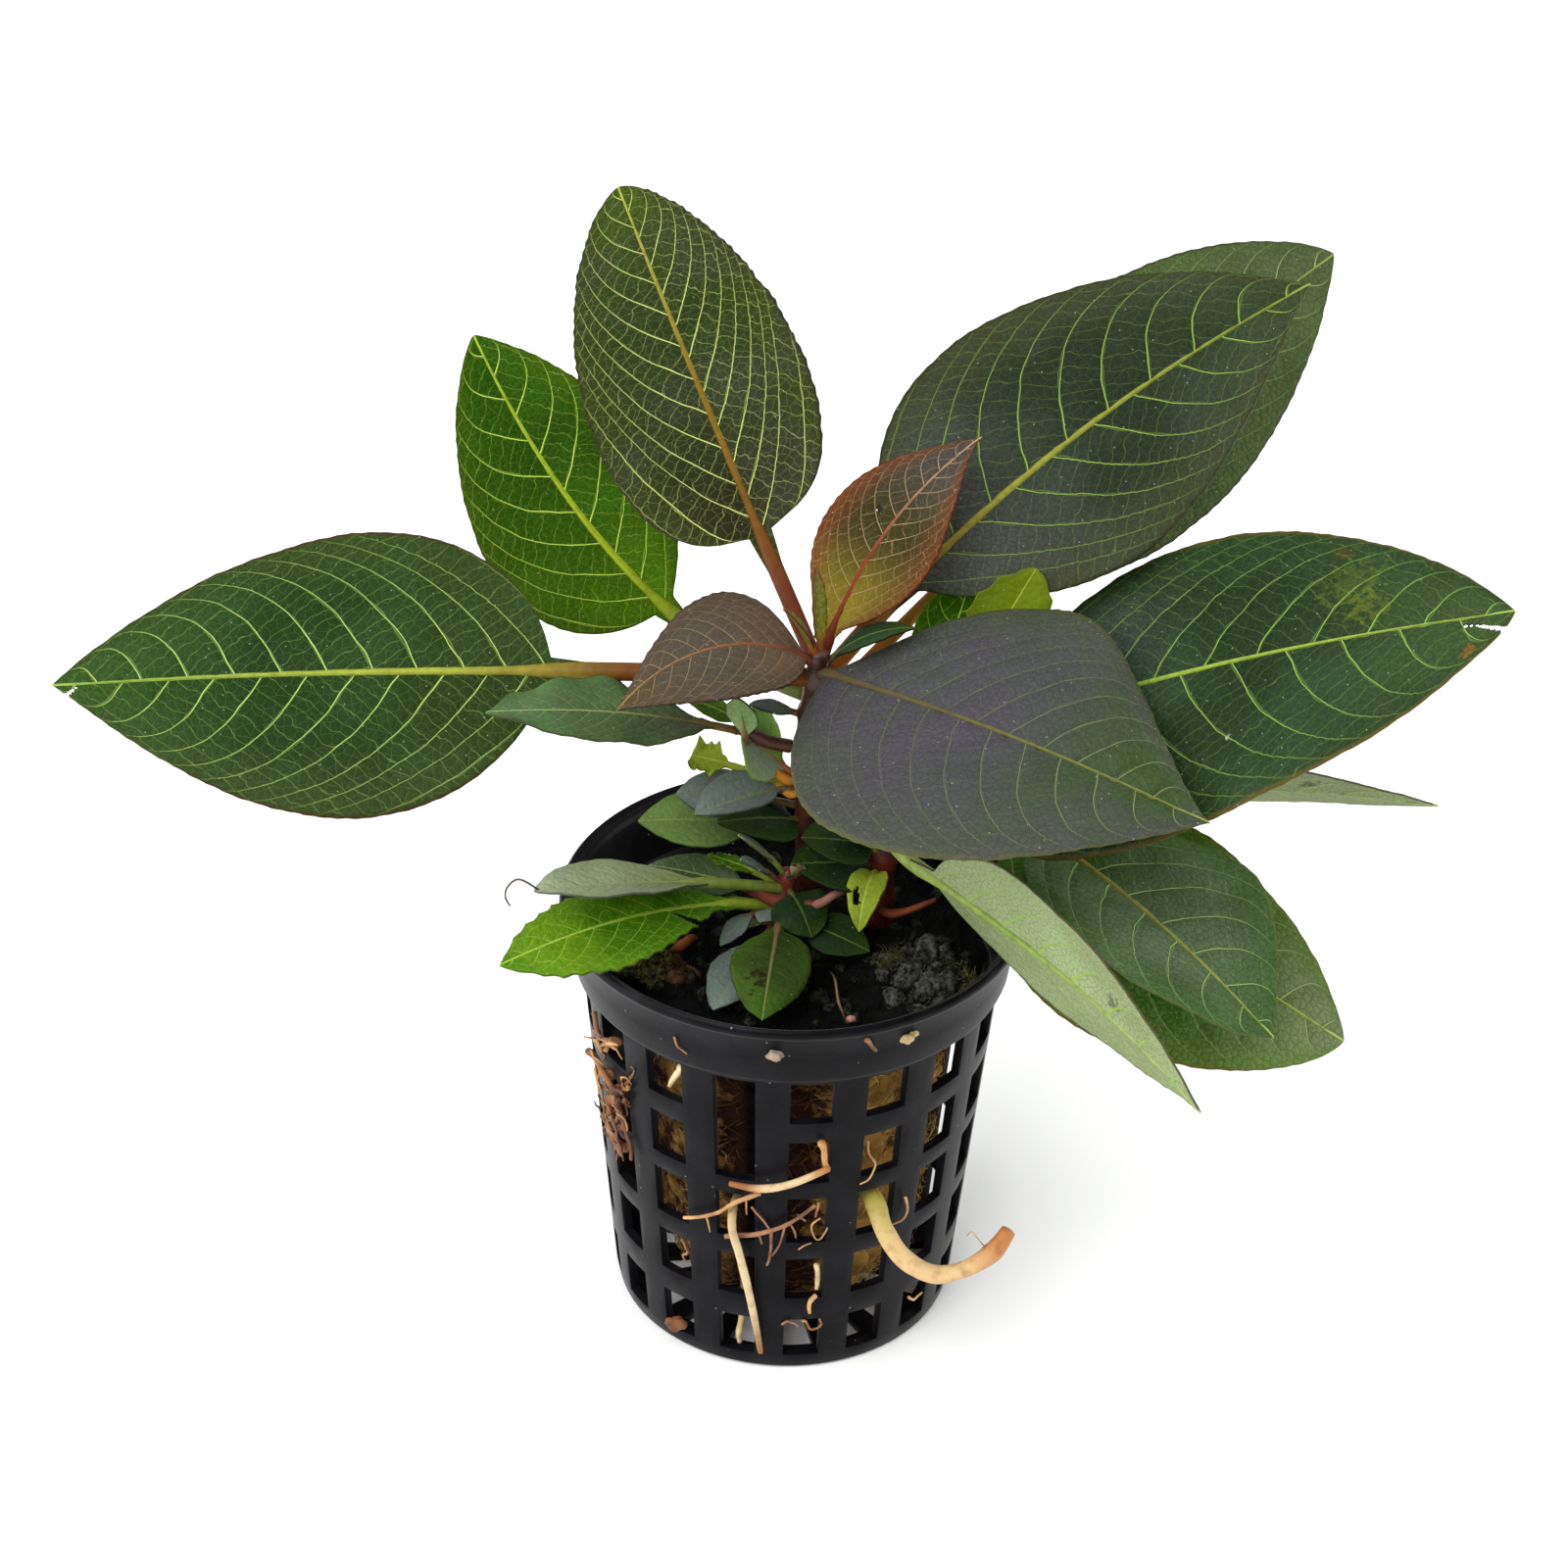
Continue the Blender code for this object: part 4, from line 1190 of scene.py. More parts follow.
STEMS = (
    Stem("stem_main", ((2.4, 9.5, 38, 2.0), (2.3, 8.8, 48, 2.0), (1.6, 6.8, 62, 1.7), (1.3, 5.2, 72, 1.5),
         (1.8, 3.9, 80, 1.3), (2.2, 3.2, 84.8, 1.0)), RED_BROWN, (52, 59, 66, 76, 80.5, 84)),
    Stem("stem_right", ((9.6, 4.6, 38, 1.7), (10.1, 4.4, 48, 1.6), (10.6, 4.2, 58, 1.4),
         (13.4, 4.2, 67, 1.25), (14.6, 4.4, 73.4, 0.9)), RED_STEM, (51, 57, 63, 67, 72)),
    Stem("stem_left", ((-2.6, 0.2, 38, 1.3), (-2.2, 0.4, 46, 1.3), (-1.2, 1.0, 52, 1.1),
         (-0.6, 1.6, 56.5, 0.8)), RED_STEM, (50, 53, 55.5)),
    Stem("shoot_left", ((-0.8, 4.9, 71.2, 0.8), (-3.6, 4.0, 72.4, 0.8), (-6.6, 3.0, 74.6, 0.7)), RED_BROWN),
)

LARGE_LEAVES = (
    Leaf("leaf_top", "stem_main", 83.4, 116.5, 31, 16.7, 63.7, 27.5, "bronze", roll=-33, droop=27, sweep=2.5,
         left=(0.34, 0.76), right=(0.3, 0.8), fold=23, stalk_radius=0.9, veins=11, lean=0.42, tooth=0.22),
    Leaf("leaf_back_left", "stem_main", 78, 125.5, -15.5, 30, 52, 25, "fresh", roll=-35, droop=-36, sweep=-31,
         left=(0.45, 0.83), right=(0.7, 0.87), left_share=0.52, fold=15.5, stalk_radius=1.0, veins=8),
    Leaf("leaf_far_left", "stem_main", 81, 177, -0.5, 28.6, 59, 34.5, "deep green", roll=-41, droop=11,
         sweep=3, left=(0.64, 1.07), right=(0.56, 0.96), fold=3.5, stalk_radius=1.0, veins=11, tooth=0.1,
         tears=(Tear((0.95, 0.2), (0.97, 1.1), 0.6),)),
    Leaf("leaf_upper_right", "stem_main", 80.6, 45, 32, 14.5, 59, 36.4, "blue green", roll=14.5, droop=0.5,
         sweep=-24, left=(0.67, 1.03), right=(0.7, 1.1), fold=13, stalk_radius=1.0, veins=10),
    Leaf("leaf_behind_right", "stem_main", 76, 43, 28, 22.4, 67, 29.6, "grey green", roll=50, droop=8,
         sweep=-10.5, left=(0.62, 0.82), right=(0.72, 0.91), fold=12, stalk_radius=0.75, veins=10, wing=0.04),
    Leaf("leaf_front_right", "stem_main", 82.4, -51.5, 17, 0.8, 50.9, 41.4, "slate", roll=16, droop=36,
         sweep=18.5, left=(0.95, 1.38), right=(0.83, 1.12), left_share=0.49, fold=4.5, stalk_radius=0.8,
         veins=12, tooth=0.16, tooth_pitch=1.7),
    Leaf("leaf_right", "stem_right", 72, -22, 34.5, 8.6, 63, 40, "glossy green", roll=27, droop=9, sweep=-8,
         left=(0.55, 0.93), right=(0.25, 0.68), left_share=0.48, fold=1, stalk_radius=0.8, veins=10,
         tooth=0.1, tears=(Tear((0.91, -0.12), (0.985, -1.0), 0.8),)),
    Leaf("leaf_lower_right", "stem_right", 69.5, -39.5, 0, 17.6, 34.5, 31.7, "lower green", roll=-9.5,
         droop=25.5, sweep=-2.5, left=(1.05, 1.27), right=(0.54, 0.74), left_share=0.52, fold=12,
         stalk_radius=0.9, veins=7, tooth=0.14),
    Leaf("leaf_lower_behind", "stem_right", 66, -21, -17, 11, 45.8, 32, "bright green", roll=19, droop=21,
         sweep=6.5, left=(0.55, 0.76), right=(0.45, 0.75), left_share=0.48, fold=1, stalk_radius=0.9,
         veins=8),
    Leaf("leaf_sliver_right", "stem_right", 64.2, 12.5, 3.5, 16.7, 44.7, 20.5, "pale", roll=-44.5, droop=17.5,
         sweep=-2.5, left=(0.7, 0.8), right=(0.64, 1.4), left_share=0.46, fold=9.5, stalk_radius=0.8,
         veins=8),
    Leaf("leaf_pale_hanging", "stem_right", 62, -37, -8, 16.4, 44.8, 23, "pale", roll=-72.5, droop=20,
         sweep=-8, form=(0.63, 1.09), fold=10, stalk_turn=(-69, 33), rib_taper=0.8, stalk_radius=0.8,
         veins=8),
)

YOUNG_LEAVES = (
    Leaf("young_leaf_right", "stem_main", 84.2, 60, 56, 2.4, 28, 16, "copper", roll=-8.5, droop=28, sweep=-25,
         left=(0.87, 1.26), right=(0.83, 1.36), stalk_radius=0.6, veins=12, tooth=0.14, tooth_pitch=1.2,
         tears=(Tear((0.505, 0.27), (0.51, 0.3), 0.9),)),
    Leaf("young_leaf_left", "stem_main", 84, 200.5, 40, 0.6, 24.4, 19.6, "purple brown", roll=-6.5, droop=93,
         sweep=8.5, left=(0.79, 1.12), right=(0.6, 1.6), fold=7, stalk_radius=0.6, veins=11, tooth=0.2,
         tooth_pitch=1.2),
    Leaf("apex_leaflet", "stem_main", 84.8, 123, 92, 1.5, 8.4, 1.8, "apex", shift=(0.7, -1.0, 0.5),
         stalk_radius=0.35, veins=4),
    Leaf("apex_bud", "stem_main", 84.8, 193, 68, 0.8, 5.8, 2.4, "apex", fold=25, shift=(0.5, -0.2, 0.45),
         stalk_radius=0.35, veins=4),
    Leaf("small_leaf_crown", "stem_main", 83.8, 356, 52, 1.2, 9.5, 4.4, "small dark", droop=50,
         stalk_radius=0.35, veins=6),
    Leaf("green_leaf_behind", "stem_right", 72.4, 65, 65, 3.2, 14.4, 9.5, "veined green", form=(0.7, 0.5),
         shift=(-0.2, 0.3, 0), stalk_radius=0.4, veins=5),
    Leaf("green_leaf_toothed", "stem_right", 73.2, 10, 64, 5, 18, 8.8, "toothed", roll=62, left=(1.1, 0.75),
         right=(0.9, 0.6), left_share=0.45, shift=(-0.4, -1.0, 0.2), stalk_radius=0.4, veins=8, tooth=0.5,
         tooth_pitch=2.6),
)

SHOOT_LEAVES = (
    Leaf("leaf_small_left", "shoot_left", 74.6, 194, 20.5, 3.3, 25.4, 10.5, "small grey green", roll=-11.5,
         droop=15, sweep=7, left=(0.63, 0.83), right=(1.0, 1.1), left_share=0.47, fold=4, stalk_radius=0.4,
         veins=10, wave=2.2, waves=7),
    Leaf("shoot_leaf_green", "shoot_left", 74.2, 173, 32, 0.6, 6, 4.2, "small bright", shift=(0.3, 1.0, 0.5),
         stalk_radius=0.35, veins=5),
    Leaf("shoot_leaf_pale", "shoot_left", 73.8, 248, 79, 1, 6.1, 3.8, "small grey green",
         shift=(0, -0.5, 0.3), stalk_radius=0.35, veins=5),
    Leaf("shoot_leaf_dark", "stem_main", 76, 189, 25, 1, 4.7, 3, "small slate", stalk_radius=0.35, veins=5),
    Leaf("leaf_hanging_oval", "stem_main", 67, 191, 43, 2.2, 8.4, 9.2, "two tone", roll=-32, form=(0.55, 0.6),
         stalk_radius=0.4, veins=6, tooth=0.2, droop=-25),
)

CLUSTER_LEAVES = (
    Leaf("bud_yellow", "stem_main", 64.4, 170, 20, 8.4, 4, 4.4, "small yellow", roll=-20, form=(0.5, 0.4),
         fold=20, stalk_radius=0.4, veins=4, wave=7.0, waves=6, tooth=0.5, tooth_pitch=1.3),
    Leaf("cluster_leaf_slate", "stem_main", 62.2, 183, 15, 4, 9.5, 7.6, "small slate", roll=-14,
         form=(0.6, 0.77), stalk_radius=0.4, veins=6),
    Leaf("cluster_leaf_folded", "stem_main", 65.5, 213, 11, 3, 10.2, 7.0, "small slate", fold=30, roll=-12,
         form=(0.6, 0.8), stalk_radius=0.4, veins=6),
    Leaf("cluster_leaf_dark", "stem_main", 60.6, 214, 25, 0.4, 10.5, 8.4, "small dark", roll=-14,
         form=(0.5, 0.92), stalk_radius=0.4, veins=6),
    Leaf("cluster_leaf_oval", "stem_main", 58.5, 189, 16, 4.8, 13.4, 9.0, "mid green", roll=-14,
         form=(0.75, 0.87), stalk_radius=0.4, veins=7),
    Leaf("cluster_leaf_low", "stem_left", 52.8, 170, 17, 4, 11, 6.4, "small grey green", roll=-12,
         stalk_radius=0.4, veins=6),
    Leaf("leaflet_pale", "stem_left", 56.2, 194, 57, 2.5, 5.1, 2, "small grey", shift=(0.3, -0.3, 0.6),
         stalk_radius=0.3, veins=4),
    Leaf("leaflet_slate", "stem_left", 55.4, 206, 51, 2.4, 4, 3.0, "small slate", stalk_radius=0.3,
         form=(0.5, 0.72), veins=4),
    Leaf("cluster_leaf_back", "stem_right", 56, 202, 21, 0.6, 9.4, 9.0, "small dark", roll=-18,
         form=(0.5, 0.82), stalk_radius=0.4, veins=6),
    Leaf("leaf_edge_green", "stem_right", 58.5, 205, 47, 1.2, 4.6, 3.4, "small bright", stalk_radius=0.35,
         veins=4),
    Leaf("pointed_leaflet", "stem_right", 54.5, 255, 28, 0.5, 8.6, 4.6, "small yellow", droop=115,
         form=(0.5, 0.95), fold=22, stalk_radius=0.4, veins=5, wave=3.0, waves=4, shift=(-0.6, 0, 1.2),
         tears=(Tear((0.42, -0.45), (0.6, -0.4), 0.9),)),
    Leaf("leaflet_low_pale", "stem_left", 49.8, 187, -2, 1, 4, 2, "small grey", stalk_radius=0.3, veins=4),
    Leaf("curled_leaf", "stem_left", 54.2, 301, -13, 0.4, 5.6, 7.6, "small dark", droop=44, form=(0.45, 0.82),
         stalk_radius=0.35, veins=5, wave=3.0),
    Leaf("leaf_low_slate", "stem_left", 50, 248, 9, 5.0, 12.7, 6.4, "small slate", stalk_radius=0.4,
         form=(0.6, 0.82), veins=6, wave=2.0),
    Leaf("leaf_low_dark", "stem_left", 51.8, 265, 9, 4.8, 15.9, 9.2, "olive green", stalk_radius=0.45,
         form=(0.65, 0.87), veins=7, wave=1.5),
    Leaf("leaf_torn_green", "stem_left", 54.6, 167, 26, 3.4, 5.2, 3, "small bright", stalk_radius=0.35,
         veins=4, tooth=0.6),
    Leaf("leaf_low_left_green", "stem_left", 52.3, 214, 25, 7.2, 29, 12, "small bright", roll=-15.5, droop=37,
         sweep=5.5, left=(1.1, 0.8), right=(0.8, 0.95), left_share=0.54, stalk_radius=0.6, veins=9, tooth=0.4,
         wave=1.4, tears=(Tear((0.24, 0.25), (0.17, 1.1), 1.3),)),
    Leaf("leaf_low_left_grey", "stem_left", 54.5, 209, 22.5, 11.6, 20.6, 9.6, "small grey", slot="leaf_slate",
         roll=7.5, droop=12, left=(0.66, 0.65), right=(0.69, 0.8), left_share=0.44, fold=12, stalk_radius=0.6,
         veins=7, wave=0.8),
    Leaf("dark_leaf_above", "stem_right", 58.6, 196, 24, 0.6, 8.4, 8.4, "small dark", roll=-14,
         form=(0.5, 0.82), stalk_radius=0.35, veins=6, solid=False),
    Leaf("bright_leaf_under", "stem_left", 52.0, 180, 10, 4.5, 9.0, 4.2, "small bright", roll=-10,
         stalk_radius=0.35, veins=6, tooth=0.3, solid=False),
    Leaf("pale_leaf_upright", "stem_left", 52.6, 214, 0, 3.6, 4.6, 3.0, "small slate", droop=50,
         stalk_radius=0.3, veins=4, solid=False),
    Leaf("round_slate_leaf", "stem_left", 52.4, 236, 6, 0.8, 2.6, 2.8, "small slate", form=(0.5, 0.72),
         stalk_radius=0.3, veins=4, solid=False),
    Leaf("pink_curl", "stem_left", 56.0, 300, 35, 0.3, 2.8, 2.4, "purple brown", droop=-60, stalk_radius=0.25,
         veins=4, wave=5.0, solid=False),
    Leaf("dark_leaf_low", "stem_left", 50.6, 330, 4, 2.4, 8.0, 6.4, "small dark", roll=14, stalk_radius=0.35,
         veins=5, solid=False),
)


# Pot and bedding


@dataclass
class NetPot:
    """The one-piece net pot: a plain rolled rim band, five rows of windows and a spoked base."""

    columns: int = 17
    first_column: float = 6.5
    window_half: float = 5.9
    rows: tuple = ((2.2, 8.1), (11.6, 18.0), (20.7, 27.6), (30.0, 36.3), (39.2, 45.1))
    broken_column: int = 16
    broken_bar: tuple = (36.3, 39.2)
    base_radius: float = 20.4
    wall_top_radius: float = 24.4
    band_foot: float = 46.0
    wall: float = 1.1
    hub_radius: float = 7.0
    spoke_end: float = 17.5
    finish: PolypropyleneFinish = PolypropyleneFinish()

    def wall_radius(self, height: float) -> float:
        """Outer radius of the lattice wall at a height."""
        return self.base_radius + (self.wall_top_radius - self.base_radius) * height / self.band_foot

    def profile(self) -> list[tuple[float, float]]:
        """The outline of the pot's outside, from the hub of the base out and up over the rim.

        Returns:
            Its (radius, height) points.
        """
        heights = sorted(edge for row in self.rows for edge in row)
        between = [(heights[i] + heights[i + 1]) / 2 for i in range(len(heights) - 1)]
        heights = sorted(heights + between)
        base = [(self.hub_radius, 0.0), (12.0, 0.0), (self.spoke_end, 0.0), (19.7, 0.0), (20.25, 0.25)]
        wall = [(self.wall_radius(height), height) for height in heights]
        band = [(24.4, 45.6), (24.7, 46.0), (25.2, 46.1), (25.4, 46.6), (25.75, 49.5), (26.15, 52.4)]
        lip = [(26.4, 52.8), (26.8, 53.0), (27.0, 53.4), (26.95, 53.9), (26.6, 54.3)]
        return base + wall + band + lip

    def skin_at(self, turn: float, height: float, lift: float = 0.0) -> tuple[float, float, float]:
        """A point on the pot's outside.

        Args:
            turn: Degrees round from the front, to the right.
            height: Its height.
            lift: How far it stands off.

        Returns:
            The point in millimetres.
        """
        radii, heights = np.array(self.profile()).T
        radius = float(np.interp(height, heights, radii)) + lift
        angle = math.radians(turn)
        return radius * math.sin(angle), -radius * math.cos(angle), height

    def turns(self) -> list[float]:
        """Where the strips of the wall meet, with the windows' sides among them.

        Returns:
            Angles round the pot, with the first again at the end.
        """
        pitch = 360 / self.columns
        bar, third = pitch - 2 * self.window_half, self.window_half / 3
        angles = []
        for column in range(self.columns):
            centre = self.first_column + column * pitch
            angles += [centre - self.window_half, centre - third, centre + third, centre + self.window_half]
            angles += [centre + self.window_half + bar * part / 3 for part in (1, 2)]
        return angles + [angles[0] + 360]

    def build(self) -> Object:
        """Rolls a grid into the pot's skin, opens the windows and gives it its wall.

        Returns:
            The finished pot.
        """
        profile, turns = self.profile(), self.turns()
        strips, levels = len(turns) - 1, len(profile) - 1
        pot, unit = start_with(
            bpy.ops.mesh.primitive_grid_add, "net_pot_moulding", x_subdivisions=strips, y_subdivisions=levels,
            size=2
        )
        strip = np.rint((unit[:, 0] + 1) / 2 * strips).astype(int)
        level = np.rint((unit[:, 1] + 1) / 2 * levels).astype(int)
        turn = np.radians(np.array(turns))[strip]
        shape = np.array(profile)[level]
        radius = shape[:, 0]
        place(pot, np.stack([radius * np.sin(turn), -radius * np.cos(turn), shape[:, 1]], 1))
        self._open_windows(pot, strip, level, profile)
        weld(pot)
        self._close_hub(pot)
        apply_modifier(pot, "SOLIDIFY", thickness=self.wall * MM, offset=-1.0, use_even_offset=True)
        sharp = {"limit_method": "ANGLE", "angle_limit": math.radians(50)}
        apply_modifier(pot, "BEVEL", width=0.16 * MM, segments=2, **sharp)
        pot.data.materials.append(self.finish.material())
        only(pot)
        bpy.ops.object.shade_smooth_by_angle(angle=math.radians(38))
        panels = [f"pot_wall_{number}" for number in range(1, 7)]
        finish_piece(pot, "pot_plastic", "pot_rim", "pot_base", *panels)
        return pot

    def _open_windows(
        self, pot: Object, strip: np.ndarray, level: np.ndarray, profile: list[tuple[float, float]]
    ) -> None:
        """Deletes the faces of the windows and of the base's slots.

        Args:
            pot: The rolled grid.
            strip: The strip that each vertex starts.
            level: The level that each vertex starts.
            profile: The pot's (radius, height) levels.
        """
        corners = corners_of(pot)
        gone = []
        for of_strip, of_level in zip(strip[corners].min(1), level[corners].min(1)):
            column, part = divmod(int(of_strip), 6)
            (low_radius, low), (_, high) = profile[of_level], profile[of_level + 1]
            inside = part < 3
            slot = high == 0.0 and low_radius < self.spoke_end
            in_row = any(row[0] <= low and high <= row[1] and high > 1 for row in self.rows)
            in_bar = self.broken_bar[0] <= low and high <= self.broken_bar[1]
            broken = column == self.broken_column and in_bar
            gone.append(inside and (slot or in_row or broken))
        delete_faces(pot, np.array(gone))

    def _close_hub(self, pot: Object) -> None:
        """Fills the middle of the base and turns all the faces outwards.

        Args:
            pot: The rolled grid.
        """
        choose_faces(pot, np.zeros(len(pot.data.polygons), bool))
        bpy.context.tool_settings.mesh_select_mode = (True, False, False)
        for vertex in pot.data.vertices:
            vertex.select = vertex.co.to_2d().length < (self.hub_radius + 0.1) * MM
        bpy.ops.object.mode_set(mode="EDIT")
        bpy.ops.mesh.edge_face_add()
        bpy.ops.mesh.select_all(action="SELECT")
        bpy.ops.mesh.normals_make_consistent(inside=False)
        bpy.ops.object.mode_set(mode="OBJECT")


@dataclass(frozen=True)
class Heap:
    """A heap of crumbs or a tuft of strands: its place, its reach, how many, their size and stuff."""

    x: float
    y: float
    spread: float
    count: int
    size: float
    finish: MottledFinish


@dataclass
class Bedding:
    """The rock wool that the plant is rooted in and the moss on it.

    A station of the plug is (height, radius). A shade of the wool is (degrees round from the front, width
    in degrees, change of tone).
    """

    random: Generator
    stations: tuple = (
        (1.5, 8.5), (4.5, 12.5), (10.0, 15.6), (20.0, 16.7), (30.0, 17.4), (38.0, 18.2), (43.0, 18.6)
    )
    shades: tuple = (
        (28, 10, 0.24), (-37, 9, 0.06), (-7, 17, -0.3), (-14, 3.5, -0.35), (60, 14, 0.1), (-62, 12, -0.05)
    )
    swell: float = 9.0
    fibres: int = 1500
    hairs: int = 1700
    moss_foot: float = 43.4
    moss_top: float = 47.4
    moss_radius: float = 22.6
    hair_radius: float = 22.2
    tuft_radius: float = 22.3
    crumb_radius: float = 20.6
    wool: MottledFinish = MottledFinish("spun rock wool", "#2a1610", "#b88c46", 3.6, toned=True, relief=0.8)
    fibre: MottledFinish = MottledFinish("loose rock wool fibre", "#5a3c20", "#c8a868", 2.0, toned=True)
    moss: MottledFinish = MottledFinish("dark wet moss", "#020203", "#0a0b09", 2.2, roughness=0.8, relief=1.0)
    hair: MottledFinish = MottledFinish("moss strands", "#030403", "#14180e", 1.5, roughness=0.8)
    tufts: tuple = (
        Heap(15.5, -8.5, 4.6, 800, 1.3,
             MottledFinish("dead grey moss", "#0b0b0a", "#52524a", 0.7, roughness=0.8)),
        Heap(11.5, -5.8, 1.6, 260, 1.6,
             MottledFinish("olive moss", "#20200c", "#5c5c2c", 0.9, roughness=0.8)),
        Heap(-16.8, -7.8, 2.2, 350, 1.3,
             MottledFinish("olive wet moss", "#24240e", "#8c8848", 0.8, roughness=0.8)),
        Heap(-13.6, -8.4, 2.0, 250, 1.3,
             MottledFinish("brown wet moss", "#20120a", "#70503a", 0.8, roughness=0.8)),
        Heap(19.8, -8.8, 1.6, 300, 1.4,
             MottledFinish("pale moss tips", "#2c2e10", "#8c8a48", 0.9, roughness=0.8)),
    )
    heaps: tuple = (
        Heap(0.0, -4.0, 21.0, 110, 1.2,
             MottledFinish("wet soil crumbs", "#040404", "#34342a", 0.8, roughness=0.4)),
        Heap(15.5, -8.5, 5.0, 60, 1.4,
             MottledFinish("grey moss crumbs", "#060605", "#52524a", 0.7, roughness=0.6)),
        Heap(-16.6, -8.0, 2.8, 26, 1.2,
             MottledFinish("olive moss crumbs", "#14120a", "#7c7840", 0.8, roughness=0.6)),
        Heap(-13.4, -8.6, 2.4, 20, 1.2,
             MottledFinish("brown moss crumbs", "#140b06", "#644830", 0.8, roughness=0.6)),
    )

    def plug(self) -> Object:
        """The tapered plug, lumpy and fibrous.

        Returns:
            The finished piece.
        """
        plug, level, turn = self._ball("rock_wool_block", 180, 120)
        heights, radii = np.array(self.stations).T
        height = heights[0] + (heights[-1] - heights[0]) * np.clip((level - 0.06) / 0.86, 0, 1)
        radius = np.interp(height, heights, radii)
        cap = np.clip(np.minimum(level / 0.06, (1 - level) / 0.08), 0, 1)
        arc = turn * 16
        rough = 0.5 * ripple(arc / 2.2, height / 1.6, 3.0) + 0.35 * ripple(arc / 0.8, height / 0.6, 8.0)
        hollow = -1.2 * np.clip(ripple(arc / 5.0, height / 5.0, 5.0) - 0.2, 0, 1)
        tone = self.tone(turn)
        rough = rough + hollow + self._bulge(tone) + self.random.normal(0, 0.06, len(radius))
        radius = radius * cap + rough * np.clip(cap * 2, 0, 1)
        place(plug, np.stack([radius * np.cos(turn), radius * np.sin(turn), height], 1))
        finish_skin(plug, self.wool.material())
        set_uv(plug, "tone", np.stack([tone, tone], 1))
        plug = joined([plug, self._threads()], plug.name)
        finish_piece(plug, "rock_wool", "rock_wool_plug")
        return plug

    @staticmethod
    def _ball(name: str, segments: int, rings: int) -> tuple[Object, np.ndarray, np.ndarray]:
        """A ball to start from.

        Args:
            name: Its name.
            segments: How many faces go round it.
            rings: How many faces lie from pole to pole.

        Returns:
            The ball, and for each vertex its level, 0 at the foot and 1 at the top, and its angle.
        """
        ball, unit = start_with(
            bpy.ops.mesh.primitive_uv_sphere_add, name, segments=segments, ring_count=rings, radius=1
        )
        level = np.arcsin(np.clip(unit[:, 2], -1, 1)) / math.pi + 0.5
        return ball, level, np.arctan2(unit[:, 1], unit[:, 0])

    def _bulge(self, tone: np.ndarray) -> np.ndarray:
        """How far the wool stands out where it is pale, and lies back where it is dark."""
        return self.swell * np.clip(tone, -0.12, 0.2)

    def tone(self, turn: np.ndarray) -> np.ndarray:
        """How much paler the wool is round the plug: pale at the right and the left, dark in the middle.

        Args:
            turn: The angle round the plug from +X, in radians.

        Returns:
            A shift of the wool's mottling; the wool bulges with it.
        """
        shift = np.full(np.shape(turn), -0.02)
        for azimuth, width, change in self.shades:
            apart = turn + math.pi / 2 - math.radians(azimuth)
            apart = np.degrees(np.arctan2(np.sin(apart), np.cos(apart)))
            shift = shift + change * np.exp(-((apart / width) ** 2))
        return shift

    def _threads(self) -> Object:
        """Loose fibres that stand off the plug's side.

        Returns:
            The fibres.
        """
        random, strands = self.random, []
        for _ in range(self.fibres):
            turn = random.uniform(0, math.tau)
            height = random.uniform(3, 43)
            radius = float(np.interp(height, *np.array(self.stations).T)) + random.uniform(0.0, 0.9)
            length = random.uniform(1.5, 5.0)
            lean = random.uniform(-1.3, 1.3)
            points = []
            for part in np.linspace(0, 1, 5):
                angle = turn + (part - 0.5) * length * math.cos(lean) / radius
                level = height + (part - 0.5) * length * math.sin(lean)
                out = radius + float(self._bulge(self.tone(np.array(angle))))
                out = out + 0.5 * math.sin(part * math.pi) + random.normal(0, 0.12)
                points.append((out * math.cos(angle), out * math.sin(angle), level))
            strands.append((np.array(points), random.uniform(0.05, 0.13)))
        threads = make_strands("rock_wool_threads", strands, self.fibre.material())
        middle = coordinates(threads)
        tone = self.tone(np.arctan2(middle[:, 1], middle[:, 0]))
        set_uv(threads, "tone", np.stack([tone, tone], 1))
        return threads

    def crust(self) -> Object:
        """The moss: a lumpy dark mat with clumps at the right and the left, and its strands.

        Returns:
            The finished piece.
        """
        mat, level, turn = self._ball("moss_mat", 160, 100)
        top = level > 0.3
        over = np.sin(np.clip((1 - level) / 0.7, 0, 1) * math.pi / 2)
        share = np.where(top, over, np.clip(level / 0.3, 0, 1))
        reach = share * self.reach(turn) + np.where(share > 0.9, 0.35 * ripple(turn * 9, level * 9, 2.0), 0)
        x, y = reach * np.cos(turn), reach * np.sin(turn)
        rough = 0.45 * ripple(x / 0.9, y / 0.9, 4.0) + 0.25 * ripple(x / 0.35, y / 0.35, 6.0)
        high = self.height(x, y) - 1.1 * share**8 + rough + self.random.normal(0, 0.07, len(x))
        low = self.moss_foot + 0.6 * share
        place(mat, np.stack([x, y, np.where(top, np.maximum(high, low + 0.4), low)], 1))
        finish_skin(mat, self.moss.material())
        hairs = self._hairs()
        tufts = [self._tuft(tuft) for tuft in self.tufts]
        crumbs = [self._crumbs(heap) for heap in self.heaps]
        mat = joined([mat, hairs, *tufts, *crumbs], mat.name)
        finish_piece(mat, "moss", "moss_crust")
        return mat

    def height(self, x: np.ndarray, y: np.ndarray) -> np.ndarray:
        """The moss's surface, with a big clump at the right and a smaller one at the left.

        Args:
            x: Across, to the right.
            y: Towards the back.

        Returns:
            Its height there.
        """
        rough = 0.35 * np.sin(0.55 * x + 1.0) * np.cos(0.5 * y)
        right = 3.6 * np.exp(-((x - 15.0) ** 2 + (y + 6.5) ** 2) / 26)
        left = 2.2 * np.exp(-((x + 15.0) ** 2 + (y + 8.5) ** 2) / 20)
        return self.moss_top + rough + right + left

